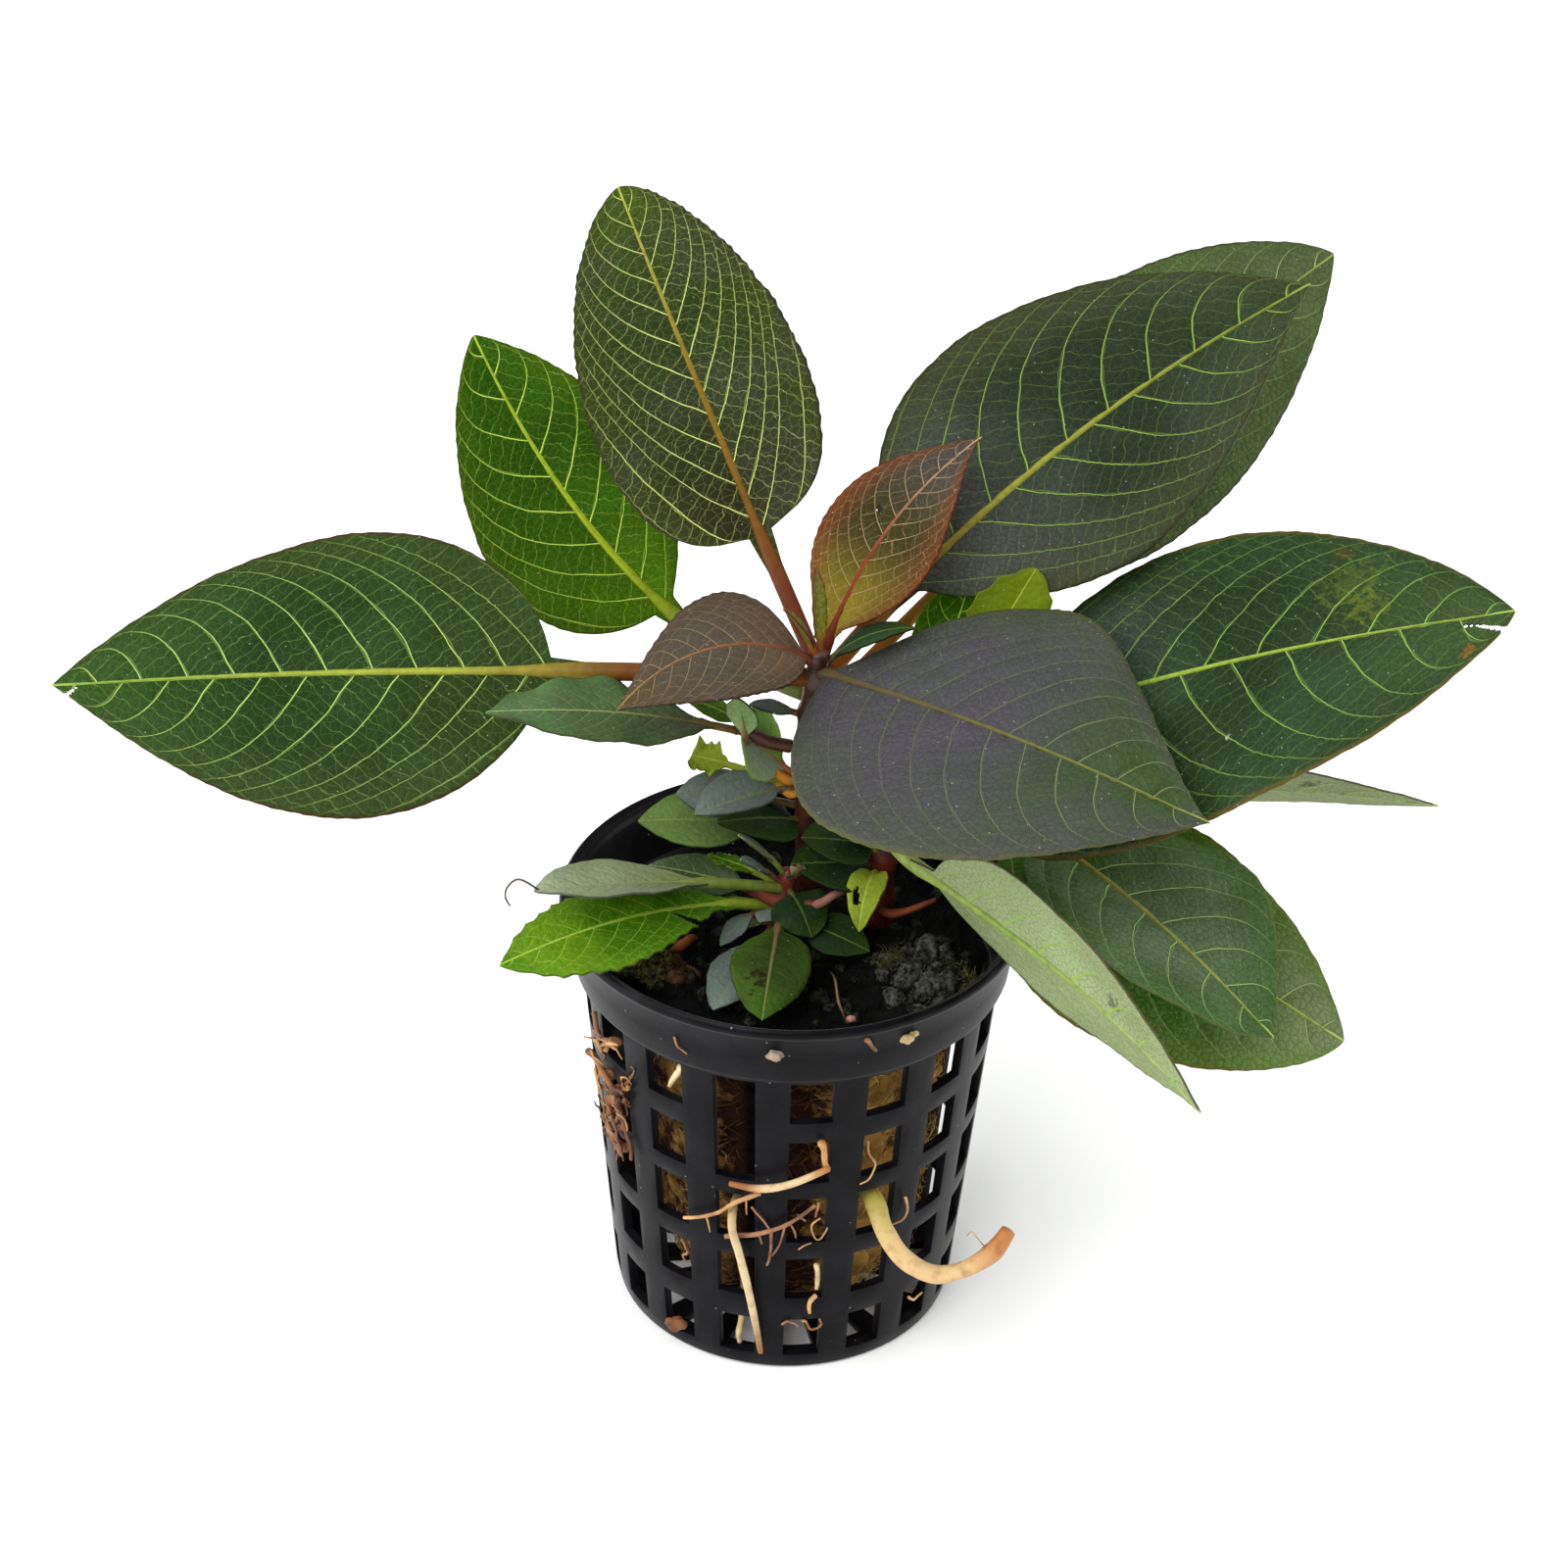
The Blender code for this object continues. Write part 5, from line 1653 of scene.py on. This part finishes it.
    def reach(self, turn: np.ndarray) -> np.ndarray:
        """Radius of the moss, which falls short of the wall at the back left."""
        apart = np.arctan2(np.sin(turn - math.radians(135)), np.cos(turn - math.radians(135)))
        return self.moss_radius - 0.5 * np.exp(-((apart / 0.55) ** 2))

    def _tuft(self, tuft: Heap) -> Object:
        """A tuft of short crooked strands on a clump of moss.

        Args:
            tuft: Where it is and what it is made of; its size is the strands' usual length.

        Returns:
            The strands.
        """
        random, strands = self.random, []
        for _ in range(tuft.count):
            x, y, z = self._spot(tuft, self.tuft_radius)
            point = np.array([x, y, z + random.uniform(-0.5, 0.4)])
            heading, rise = random.uniform(0, math.tau), random.uniform(-0.3, 1.1)
            points = [point]
            for _ in range(4):
                level = np.array([math.cos(heading), math.sin(heading), 0]) * math.cos(rise)
                step = level + np.array([0, 0, math.sin(rise)])
                point = point + step * tuft.size * random.uniform(0.15, 0.35)
                points.append(point)
                heading, rise = heading + random.normal(0, 0.6), rise + random.normal(-0.2, 0.5)
            strands.append((np.array(points), random.uniform(0.06, 0.14)))
        return make_strands("moss_tuft", strands, tuft.finish.material())

    def _spot(self, heap: Heap, most: float) -> tuple[float, float, float]:
        """A random place on the moss, in or near a heap.

        Args:
            heap: The heap.
            most: The largest distance from the pot's middle.

        Returns:
            The place, at the moss's height.
        """
        at = np.array([heap.x, heap.y]) + np.clip(self.random.normal(0, 0.5, 2), -1, 1) * heap.spread
        at *= min(1, most / float(np.hypot(*at)))
        return float(at[0]), float(at[1]), float(self.height(at[0], at[1]))

    def _crumbs(self, heap: Heap) -> Object:
        """Knobbly crumbs of moss and wet soil that lie in a heap.

        Args:
            heap: Where it is and what it is made of; its size is the largest crumb's radius.

        Returns:
            The crumbs.
        """
        random, crumbs = self.random, []
        for _ in range(heap.count):
            crumb, unit = start_with(
                bpy.ops.mesh.primitive_ico_sphere_add, "moss_crumb", subdivisions=3, radius=1
            )
            seed = random.uniform(0, 60)
            rough = 1 + 0.3 * ripple(unit[:, 0] * 1.7 + seed, unit[:, 1] * 1.7 + unit[:, 2], 3.0)
            rough = rough + 0.16 * ripple(unit[:, 1] * 4.5 + seed, unit[:, 2] * 4.5 + unit[:, 0], 5.0)
            axes = random.uniform(0.55, 1.2, 3) * heap.size * random.uniform(0.35, 1.0)
            middle = np.array(self._spot(heap, self.crumb_radius)) - (0, 0, 0.1)
            place(crumb, unit * rough[:, None] * axes + middle)
            crumbs.append(crumb)
        return finish_skin(joined(crumbs, "moss_crumbs"), heap.finish.material())

    def _hairs(self) -> Object:
        """Short strands that stand out of the moss.

        Returns:
            The strands.
        """
        random, strands = self.random, []
        for _ in range(self.hairs):
            turn = random.uniform(0, math.tau)
            radius = self.hair_radius * math.sqrt(random.uniform(0.02, 1))
            radius = min(radius, float(self.reach(np.array(turn))) - 0.4)
            x, y = radius * math.cos(turn), radius * math.sin(turn)
            z = float(self.height(np.array(x), np.array(y))) - (1.3 if radius > 20.5 else 0.2)
            length = random.uniform(0.5, 1.7)
            lean = random.normal(0, 0.7, 2)
            points = [(x, y, z)]
            for part in (0.35, 0.7, 1.0):
                x_at, y_at = (at + slant * length * part**1.4 for at, slant in zip((x, y), lean))
                points.append((x_at, y_at, z + length * part))
            strands.append((np.array(points), random.uniform(0.05, 0.12)))
        return make_strands("moss_hairs", strands, self.hair.material())


def make_strands(name: str, strands: list[tuple[np.ndarray, float]], material: Material) -> Object:
    """Many thin three-sided strands in one mesh, each from the rings of one small cone.

    Args:
        name: The object's name.
        strands: Each strand's points and its radius.
        material: What they are made of.

    Returns:
        The mesh of them all.
    """
    vertices, faces = [], []
    for points, radius in strands:
        base = len(vertices)
        along = np.gradient(points, axis=0)
        along /= np.maximum(np.linalg.norm(along, axis=1)[:, None], 1e-9)
        side = np.cross(along, [0.31, 0.52, 0.79])
        side /= np.maximum(np.linalg.norm(side, axis=1)[:, None], 1e-9)
        other = np.cross(along, side)
        last = len(points) - 1
        for index, point in enumerate(points):
            size = radius * (1 - 0.75 * index / last)
            for corner in range(3):
                angle = corner * math.tau / 3
                outward = side[index] * math.cos(angle) + other[index] * math.sin(angle)
                vertices.append(point + size * outward)
        for index in range(last):
            for corner in range(3):
                a, b = base + index * 3 + corner, base + index * 3 + (corner + 1) % 3
                faces.append((a, b, b + 3, a + 3))
        faces.append((base + 2, base + 1, base))
        end = base + last * 3
        faces.append((end, end + 1, end + 2))
    made, _ = start_with(bpy.ops.mesh.primitive_plane_add, name, size=1)
    made.data.clear_geometry()
    made.data.from_pydata([tuple(np.array(vertex) * MM) for vertex in vertices], [], faces)
    return finish_skin(made, material)


# Roots


@dataclass(frozen=True)
class RootFinish:
    """A living root: matte, slightly translucent skin, from its foot through its middle to its tip."""

    name: str
    foot: str
    middle: str
    tip: str
    length: float

    def material(self) -> Material:
        """Builds the root's material.

        Returns:
            The material.
        """
        graph = Graph(f"{self.name} skin")
        add = graph.add
        blade = add("UVMap", uv_map="blade")
        along = add("SeparateXYZ", blade).outputs["X"]
        low, high = (
            add("MapRange", along, start * self.length, end * self.length, 0.0, 1.0, **SMOOTH)
            for start, end in ((0.12, 0.42), (0.7, 0.98))
        )
        colour = add("Mix", low, linear(self.foot), linear(self.middle))
        colour = add("Mix", high, colour, linear(self.tip))
        place_mm = graph.place_mm()
        cloud = add("TexNoise", place_mm, sockets={"Scale": 0.8, "Detail": 4.0})
        stain = add("MapRange", cloud, 0.5, 0.72, 0.0, 0.5)
        colour = add("Mix", stain, colour, linear("#7a4a1c"))
        fine = add("TexNoise", place_mm, sockets={"Scale": 4.0, "Detail": 3.0})
        return graph.surface(colour, fine, (0.4, 0.1), Roughness=0.5, IOR=1.4, Specular_IOR_Level=0.3)


@dataclass(frozen=True)
class Root:
    """A root or a twig: points along its middle, its radius there and its finish."""

    name: str
    points: tuple
    radii: tuple
    low: str
    high: str
    node: str = ""
    slot: str = "root"
    tip: str = ""

    def build(self) -> Object:
        """Makes the root as a smooth tube, paler or browner along it.

        Returns:
            The finished piece.
        """
        steps, path = smooth_path(self.points, 9)
        radii = np.interp(steps / steps[-1], np.linspace(0, 1, len(self.radii)), self.radii)
        seed = float(len(self.name))
        radii = radii * (1 + 0.06 * ripple(steps * 3, steps * 0 + 1, seed))
        tube = make_tube(self.name, path, radii, sides=14)
        length = float(np.linalg.norm(np.diff(path, axis=0), axis=1).sum())
        name = self.name.replace("_", " ")
        finish = RootFinish(name, self.low, self.high, self.tip or self.low, length)
        tube.data.materials.append(finish.material())
        finish_piece(tube, self.slot, *([self.node] if self.node else []))
        return tube


ROOTS = (
    Root("fat_root", ((8.4, -15.9, 25.4), (10.3, -20.0, 25.2), (11.4, -22.6, 23.4), (13.7, -24.2, 20.6),
         (17.2, -25.0, 19.0), (20.8, -25.0, 19.9), (23.8, -24.5, 22.0), (25.5, -24.0, 24.8)),
         (1.2, 1.2, 1.15, 1.15, 1.1, 1.05, 1.1, 0.9), "#98903c", "#c8a878", "root_fat", tip="#a86c3c"),
    Root("flat_root", ((-5.1, -17.1, 24.6), (-5.9, -21.0, 25.2), (-6.0, -23.4, 23.6), (-5.2, -23.2, 20.0),
         (-4.2, -22.8, 15.0), (-3.2, -22.2, 9.0), (-2.4, -21.8, 3.6)), (0.42, 0.5, 0.5, 0.5, 0.48, 0.42, 0.3),
         "#a88c64", "#c8b48c", "root_flat", tip="#8c6440"),
    Root("cross_root", ((-6.4, -23.4, 30.2), (-3.0, -24.2, 30.2), (0.5, -24.5, 31.2), (4.8, -24.0, 33.2)),
         (0.3, 0.45, 0.45, 0.35), "#8c5830", "#ccb088", "root_across", tip="#a06c3c"),
)


TWIGS = (
    Root("old_stalk_left", ((-6.5, -0.7, 55.9), (-4.4, -0.7, 54.8), (-2.2, -0.6, 53.6), (0.7, -0.6, 53.2),
         (3.2, -0.7, 53.6)), (0.5, 0.6, 0.75, 0.7, 0.5), "#3c1410", "#6c3428", slot="stem"),
    Root("old_stalk_pink", ((0.6, 0.2, 52.4), (3.0, -1.0, 53.6), (4.6, -1.0, 54.8), (5.9, -1.0, 55.4)),
         (0.5, 0.55, 0.5, 0.4), "#44241e", "#84584c", slot="stem"),
    Root("orange_twig", ((10.2, 3.4, 50.2), (11.2, 0.6, 51.4), (13.1, 0.0, 52.2), (16.5, 0.0, 53.9)),
         (0.6, 0.55, 0.45, 0.3), "#44180a", "#7c3c1c", slot="stem"),
    Root("orange_stipule_high", ((0.4, 5.4, 66.6), (-1.0, 4.4, 66.9), (-3.1, 4.4, 68.5), (-4.2, 4.4, 67.6)),
         (0.5, 0.6, 0.5, 0.2), "#8a4a10", "#b0701c", slot="stem"),
    Root("orange_stipule_low", ((0.6, 5.6, 65.6), (-0.5, 4.4, 65.0), (-2.0, 4.4, 65.9), (-3.6, 4.4, 65.9)),
         (0.4, 0.5, 0.45, 0.2), "#8e5214", "#b47820", slot="stem"),
    Root("brown_bit_left", ((-13.8, -5.6, 49.4), (-12.6, -5.6, 50.6), (-11.6, -5.8, 51.6),
         (-11.0, -6.2, 52.0)), (0.5, 0.6, 0.5, 0.3), "#5c2414", "#b05c30", slot="stem"),
    Root("curl_on_soil", ((4.5, -7.1, 48.4), (5.0, -9.9, 49.2), (5.4, -13.1, 48.6), (6.1, -15.5, 48.2)),
         (0.12, 0.14, 0.16, 0.12), "#4a3424", "#8a6a4c", slot="stem"),
    Root("crumb_on_soil", ((6.4, -16.4, 48.4), (6.8, -16.4, 48.6), (7.2, -16.2, 48.4)), (0.4, 0.45, 0.35),
         "#6a4a40", "#a88070", slot="stem"),
    Root("hair_by_tip", ((23.2, -24.5, 22.4), (22.0, -24.5, 24.1), (21.3, -24.5, 25.0), (20.8, -24.5, 24.3)),
         (0.08, 0.08, 0.07, 0.05), "#8a6a4c", "#b8946c"),
    Root("hair_by_grey_leaf", ((-28.2, -14.3, 63.6), (-30.3, -14.4, 65.0), (-31.6, -14.4, 64.0),
         (-31.9, -14.4, 62.6), (-31.4, -14.4, 61.4)), (0.12, 0.13, 0.12, 0.11, 0.1), "#2c2622", "#4a403a"),
)


@dataclass(frozen=True)
class WallRoot:
    """A fine root or twig on the pot's wall: (degrees round from the front, height) points."""

    tone: str
    radius: float
    lift: float
    points: tuple


WALL_ROOTS = (
    WallRoot("tan", 0.28, 0.6, ((-7, 29), (-11, 28), (-15, 26.6), (-19, 25), (-23, 23.8), (-30, 22.4))),
    WallRoot("tan", 0.11, 0.5, ((-23, 23.6), (-22.5, 22.2), (-22, 21.2))),
    WallRoot("tan", 0.11, 0.5, ((-16, 26.2), (-16, 25), (-15.7, 23.6))),
    WallRoot("tan", 0.11, 0.5, ((-11, 28), (-11, 26.5), (-10.8, 25.2))),
    WallRoot("brown", 0.3, 0.5, ((-17, 21.4), (-13, 21.8), (-8, 22.6), (-2, 23.5), (3, 25.2), (8.2, 27.2))),
    WallRoot("brown", 0.2, 0.4, ((-4, 23.2), (-3.7, 20.7), (-4, 19), (-4.8, 17.5))),
    WallRoot("brown", 0.14, 0.4, ((0, 24), (-1.2, 21.1), (-3.6, 19))),
    WallRoot("brown", 0.14, 0.4, ((-9.5, 26.4), (-6.7, 24.8), (-4.2, 23.4))),
    WallRoot("brown", 0.14, 0.4, ((-8, 22.6), (-7, 21.6), (-6.4, 20.8))),
    WallRoot("brown", 0.14, 0.4, ((1, 24.4), (2.8, 23.2), (3.4, 22))),
    WallRoot("brown", 0.14, 0.4, ((3.6, 25.7), (5, 25), (6, 24.6))),
    WallRoot("brown", 0.16, 0.4, ((9.4, 27.4), (9, 26.4), (8.6, 25.2))),
    WallRoot("tan", 0.12, 0.5, ((10, 25), (8, 24.2), (7.7, 23.4), (8.7, 22), (10.2, 21.6), (11.6, 22.6),
             (12.2, 23.4))),
    WallRoot("tan", 0.09, 0.3, ((4.3, 20), (6.3, 20.7), (8, 20.9))),
    WallRoot("brown", 0.2, -0.9, ((-34.4, 17), (-33, 16), (-32.4, 15), (-34, 14.4), (-33.4, 13.6))),
    WallRoot("cream", 0.42, -1.6, ((-13.4, 7.4), (-14.5, 4.6), (-15, 2.4))),
    WallRoot("brown", 0.3, -1.6, ((-14.3, 15.6), (-13.6, 13.2), (-12.6, 10.4))),
    WallRoot("cream", 0.34, -0.9, ((10.7, 16.6), (11, 14.2), (10.6, 12.4))),
    WallRoot("tan", 0.3, 0.3, ((10.4, 12.4), (8.6, 11.8), (8.1, 9.8))),
    WallRoot("orange", 0.42, 0.2, ((9, 37), (10.3, 34.6), (11.6, 32.6))),
    WallRoot("tan", 0.13, 0.2, ((22.5, 35.7), (23.3, 33.8), (25.4, 32), (25.2, 30.7), (23.6, 29.6),
             (21.3, 29.2))),
    WallRoot("tan", 0.16, 0.5, ((36.6, 25), (38, 22.8), (36.4, 21.5), (33, 21.4))),
    WallRoot("tan", 0.14, 0.1, ((0, 7.6), (1.8, 8.1), (3.8, 7.8), (4.8, 7.3))),
    WallRoot("tan", 0.16, 0.1, ((6.3, 8), (7.7, 7.9), (9, 6.8), (11.2, 6.6), (12.6, 7.3), (12, 8.3))),
    WallRoot("tan", 0.16, 0.1, ((44.7, 7), (47.4, 5.9), (50.4, 5.9), (52, 6.1))),
    WallRoot("red brown", 0.42, 0.7, ((-70, 37.2), (-63, 37.8), (-57, 36.8), (-53, 36.6), (-50, 36.8))),
    WallRoot("tan", 0.3, 0.4, ((-64, 44.6), (-62.6, 43), (-61.8, 41.2), (-61, 39.4))),
    WallRoot("red brown", 0.3, 0.4, ((-66.5, 28.5), (-61.5, 28.2), (-59, 26.7), (-54.8, 25.9))),
    WallRoot("red brown", 0.3, 0.4, ((-55, 34.6), (-52, 30.8), (-50, 28.4), (-49.6, 26.6))),
    WallRoot("tan", 0.25, 0.4, ((-63, 40), (-57.4, 42), (-52, 43.3))),
    WallRoot("cream", 0.4, -0.9, ((-30.7, 44.4), (-32.6, 42.6), (-35.3, 40.4))),
    WallRoot("brown", 0.3, 0.1, ((18.4, 52.3), (19.7, 51.4), (21.2, 50.4))),
    WallRoot("tan", 0.12, 0.15, ((-29.4, 50.1), (-28.5, 48.8), (-26, 48.2))),
)


@dataclass
class WallGrowth:
    """What has grown or stuck on the pot's wall: fine roots, a root tangle at the left and flecks."""

    pot: NetPot
    random: Generator
    tones: dict = field(default_factory=lambda: {
        "tan": StemFinish("tan root", "#7c5230", "#c49860", 0.55),
        "brown": StemFinish("brown twig", "#5c3a22", "#a0744c", 0.6),
        "red brown": StemFinish("red brown root", "#482410", "#8e5a34", 0.6),
        "cream": StemFinish("cream root", "#b09868", "#ddcca0", 0.55),
        "pinkish tan": StemFinish("flake of bark", "#74604c", "#a08c78", 0.7),
        "orange": StemFinish("orange root", "#8c5a2c", "#b8844c", 0.5),
    })
    knots: tuple = ((-58, 33, 6), (-54, 36, 5), (-63, 30, 5), (-55, 29.5, 5), (-66, 36, 5), (-60, 40, 5))
    flecks: tuple = ((-3.5, 50.4, 0.85, "pinkish tan"), (29.5, 50.7, 0.7, "cream"),
                     (31.6, 51, 0.5, "cream"), (-57.9, 33.3, 1.0, "red brown"),
                     (-53.9, 35.8, 0.9, "red brown"), (-63, 30.4, 0.9, "brown"),
                     (-54.8, 30.1, 0.7, "brown"), (-60, 36.5, 0.8, "red brown"), (-57, 42.0, 0.9, "brown"),
                     (-56, 26.8, 0.8, "red brown"), (-37.4, 3.2, 1.1, "red brown"))

    def build(self) -> Object:
        """Makes it all as one piece.

        Returns:
            The finished piece.
        """
        materials = {tone: finish.material() for tone, finish in self.tones.items()}
        parts = [self._root(root, materials[root.tone]) for root in WALL_ROOTS]
        parts += [self._fleck(*fleck[:3], materials[fleck[3]]) for fleck in self.flecks]
        parts += [self._knot(*knot, materials) for knot in self.knots]
        growth = joined(parts, "fine_roots")
        finish_piece(growth, "root")
        return growth

    def _root(self, root: WallRoot, material: Material) -> Object:
        """One root as a crooked tube that tapers.

        Args:
            root: The root.
            material: What it is made of.

        Returns:
            The tube.
        """
        rows = [self.pot.skin_at(turn, height, root.lift + root.radius) for turn, height in root.points]
        steps, path = smooth_path(rows, 6)
        seed = root.points[0][0] * 0.37
        for column in range(3):
            path[:, column] += 0.35 * root.radius * ripple(steps * 2.2, steps * 0 + column, seed)
        radii = root.radius * np.linspace(1.1, 0.7, len(path))
        radii = radii * (1 + 0.12 * ripple(steps * 5, steps * 0, seed))
        tube = make_tube("wall_root", path, radii, sides=8)
        tube.data.materials.append(material)
        return tube

    def _fleck(self, turn: float, height: float, radius: float, material: Material) -> Object:
        """A ragged lump stuck to the wall.

        Args:
            turn: Degrees round from the front.
            height: Its height.
            radius: Its size.
            material: What it is made of.

        Returns:
            The lump.
        """
        lump, unit = start_with(bpy.ops.mesh.primitive_ico_sphere_add, "fleck", subdivisions=3, radius=1)
        rough = 1 + 0.35 * ripple(unit[:, 0] * 3 + unit[:, 2], unit[:, 1] * 3, turn)
        rough = rough + self.random.normal(0, 0.04, len(unit))
        middle = np.array(self.pot.skin_at(turn, height, 0.15 * radius))
        place(lump, middle + unit * rough[:, None] * radius * np.array([1.1, 0.7, 0.8]))
        return finish_skin(lump, material)

    def _knot(self, turn: float, height: float, count: int, materials: dict) -> Object:
        """Curly rootlets round one place on the wall.

        Args:
            turn: Degrees round from the front.
            height: The middle's height.
            count: How many rootlets.
            materials: The materials by tone.

        Returns:
            The rootlets.
        """
        random, strands = self.random, []
        for _ in range(count):
            at = np.array([turn, height]) + random.normal(0, 1, 2) * (3.4, 1.7)
            heading, bend = random.uniform(0, math.tau), random.normal(0, 0.45)
            lift, points = random.uniform(0.1, 1.1), []
            for _ in range(9):
                points.append(self.pot.skin_at(*at, lift))
                at = at + np.array([1.6 * math.cos(heading), 0.6 * math.sin(heading)])
                heading += bend + random.normal(0, 0.3)
                lift = float(np.clip(lift + random.normal(0, 0.25), 0.05, 1.5))
            strands.append((np.array(points), random.uniform(0.14, 0.42)))
        tone = str(random.choice(["tan", "brown", "red brown"]))
        return make_strands("root_knot", strands, materials[tone])


# Studio


@dataclass
class Studio:
    """The pale floor, the soft lights and the camera at the photograph's angle.

    The camera's distance, target, lens and sensor are in millimetres, and the other lengths in metres. A
    soft box is its name, its place, its size and its power in watts.
    """

    distance: float = 400.0
    elevation: float = 32.5
    roll: float = 1.5
    target: tuple = (-1.4, 0.0, 69.2)
    lens: float = 81.2
    sensor: float = 36.0
    floor_size: float = 6.0
    floor_gap: float = 0.0001
    ambient: float = 0.35
    lit_height: float = 0.06
    near_clip: float = 0.01
    boxes: tuple = (
        ("left box", (-0.7, -0.1, 0.28), 0.6, 4.5),
        ("right box", (0.7, -0.05, 0.28), 0.6, 4.5),
        ("front box", (-0.35, -0.6, 0.7), 0.6, 7.0),
        ("top box", (0.0, 0.15, 0.9), 1.4, 9.0),
    )

    def build(self) -> None:
        """Makes all of it."""
        self._floor()
        self._lights()
        self._camera()
        world = bpy.data.worlds.new("white studio")
        world.use_nodes = True
        background = world.node_tree.nodes["Background"]
        background.inputs["Color"].default_value = (1.0, 1.0, 1.0, 1.0)
        background.inputs["Strength"].default_value = self.ambient
        bpy.context.scene.world = world
        bpy.context.scene.view_settings.view_transform = "Standard"

    def _floor(self) -> None:
        """A plain pale floor just under the pot."""
        floor, _ = start_with(
            bpy.ops.mesh.primitive_plane_add, "studio_floor", size=self.floor_size,
            location=(0, 0, -self.floor_gap)
        )
        graph = Graph("matte pale floor")
        paint = graph.add("BsdfPrincipled", sockets={"Base Color": linear("#f2f2f2"), "Roughness": 0.9})
        graph.add("OutputMaterial", paint)
        floor.data.materials.append(graph.material)

    def _lights(self) -> None:
        """Soft boxes at the left, the right, the front and above."""
        for name, spot, size, power in self.boxes:
            bpy.ops.object.light_add(type="AREA", location=spot)
            lamp = bpy.context.active_object
            lamp.name = name
            lamp.data.size = size
            lamp.data.energy = power
            toward = Vector((0, 0, self.lit_height)) - Vector(spot)
            lamp.rotation_euler = toward.to_track_quat("-Z", "Y").to_euler()

    def _camera(self) -> None:
        """The camera of the photograph: its direction, its distance and its slight roll."""
        tilt, roll = math.radians(self.elevation), math.radians(self.roll)
        back = Vector((0, -math.cos(tilt), math.sin(tilt)))
        right, up = Vector((1, 0, 0)), Vector((0, math.sin(tilt), math.cos(tilt)))
        right, up = right * math.cos(roll) + up * math.sin(roll), up * math.cos(roll) - right * math.sin(roll)
        place_at = (Vector(self.target) + back * self.distance) * MM
        bpy.ops.object.camera_add()
        camera = bpy.context.active_object
        camera.matrix_world = Matrix.Translation(place_at) @ Matrix((right, up, back)).transposed().to_4x4()
        camera.data.lens = self.lens
        camera.data.sensor_width = self.sensor
        camera.data.clip_start = self.near_clip
        bpy.context.scene.camera = camera


def main() -> None:
    """Builds the sub-assemblies in order."""
    random = np.random.default_rng(SEED)
    Studio().build()
    pot = NetPot()
    pot.build()
    bedding = Bedding(random)
    bedding.plug()
    bedding.crust()
    stems = {stem.name: stem for stem in STEMS}
    for stem in STEMS:
        stem.build()
    for leaf in LARGE_LEAVES + YOUNG_LEAVES + SHOOT_LEAVES + CLUSTER_LEAVES:
        leaf.build(stems[leaf.stem])
    for root in ROOTS + TWIGS:
        root.build()
    WallGrowth(pot, random).build()


if __name__ == "__main__":
    logging.basicConfig(level=logging.INFO, format="%(name)s %(message)s")
    main()
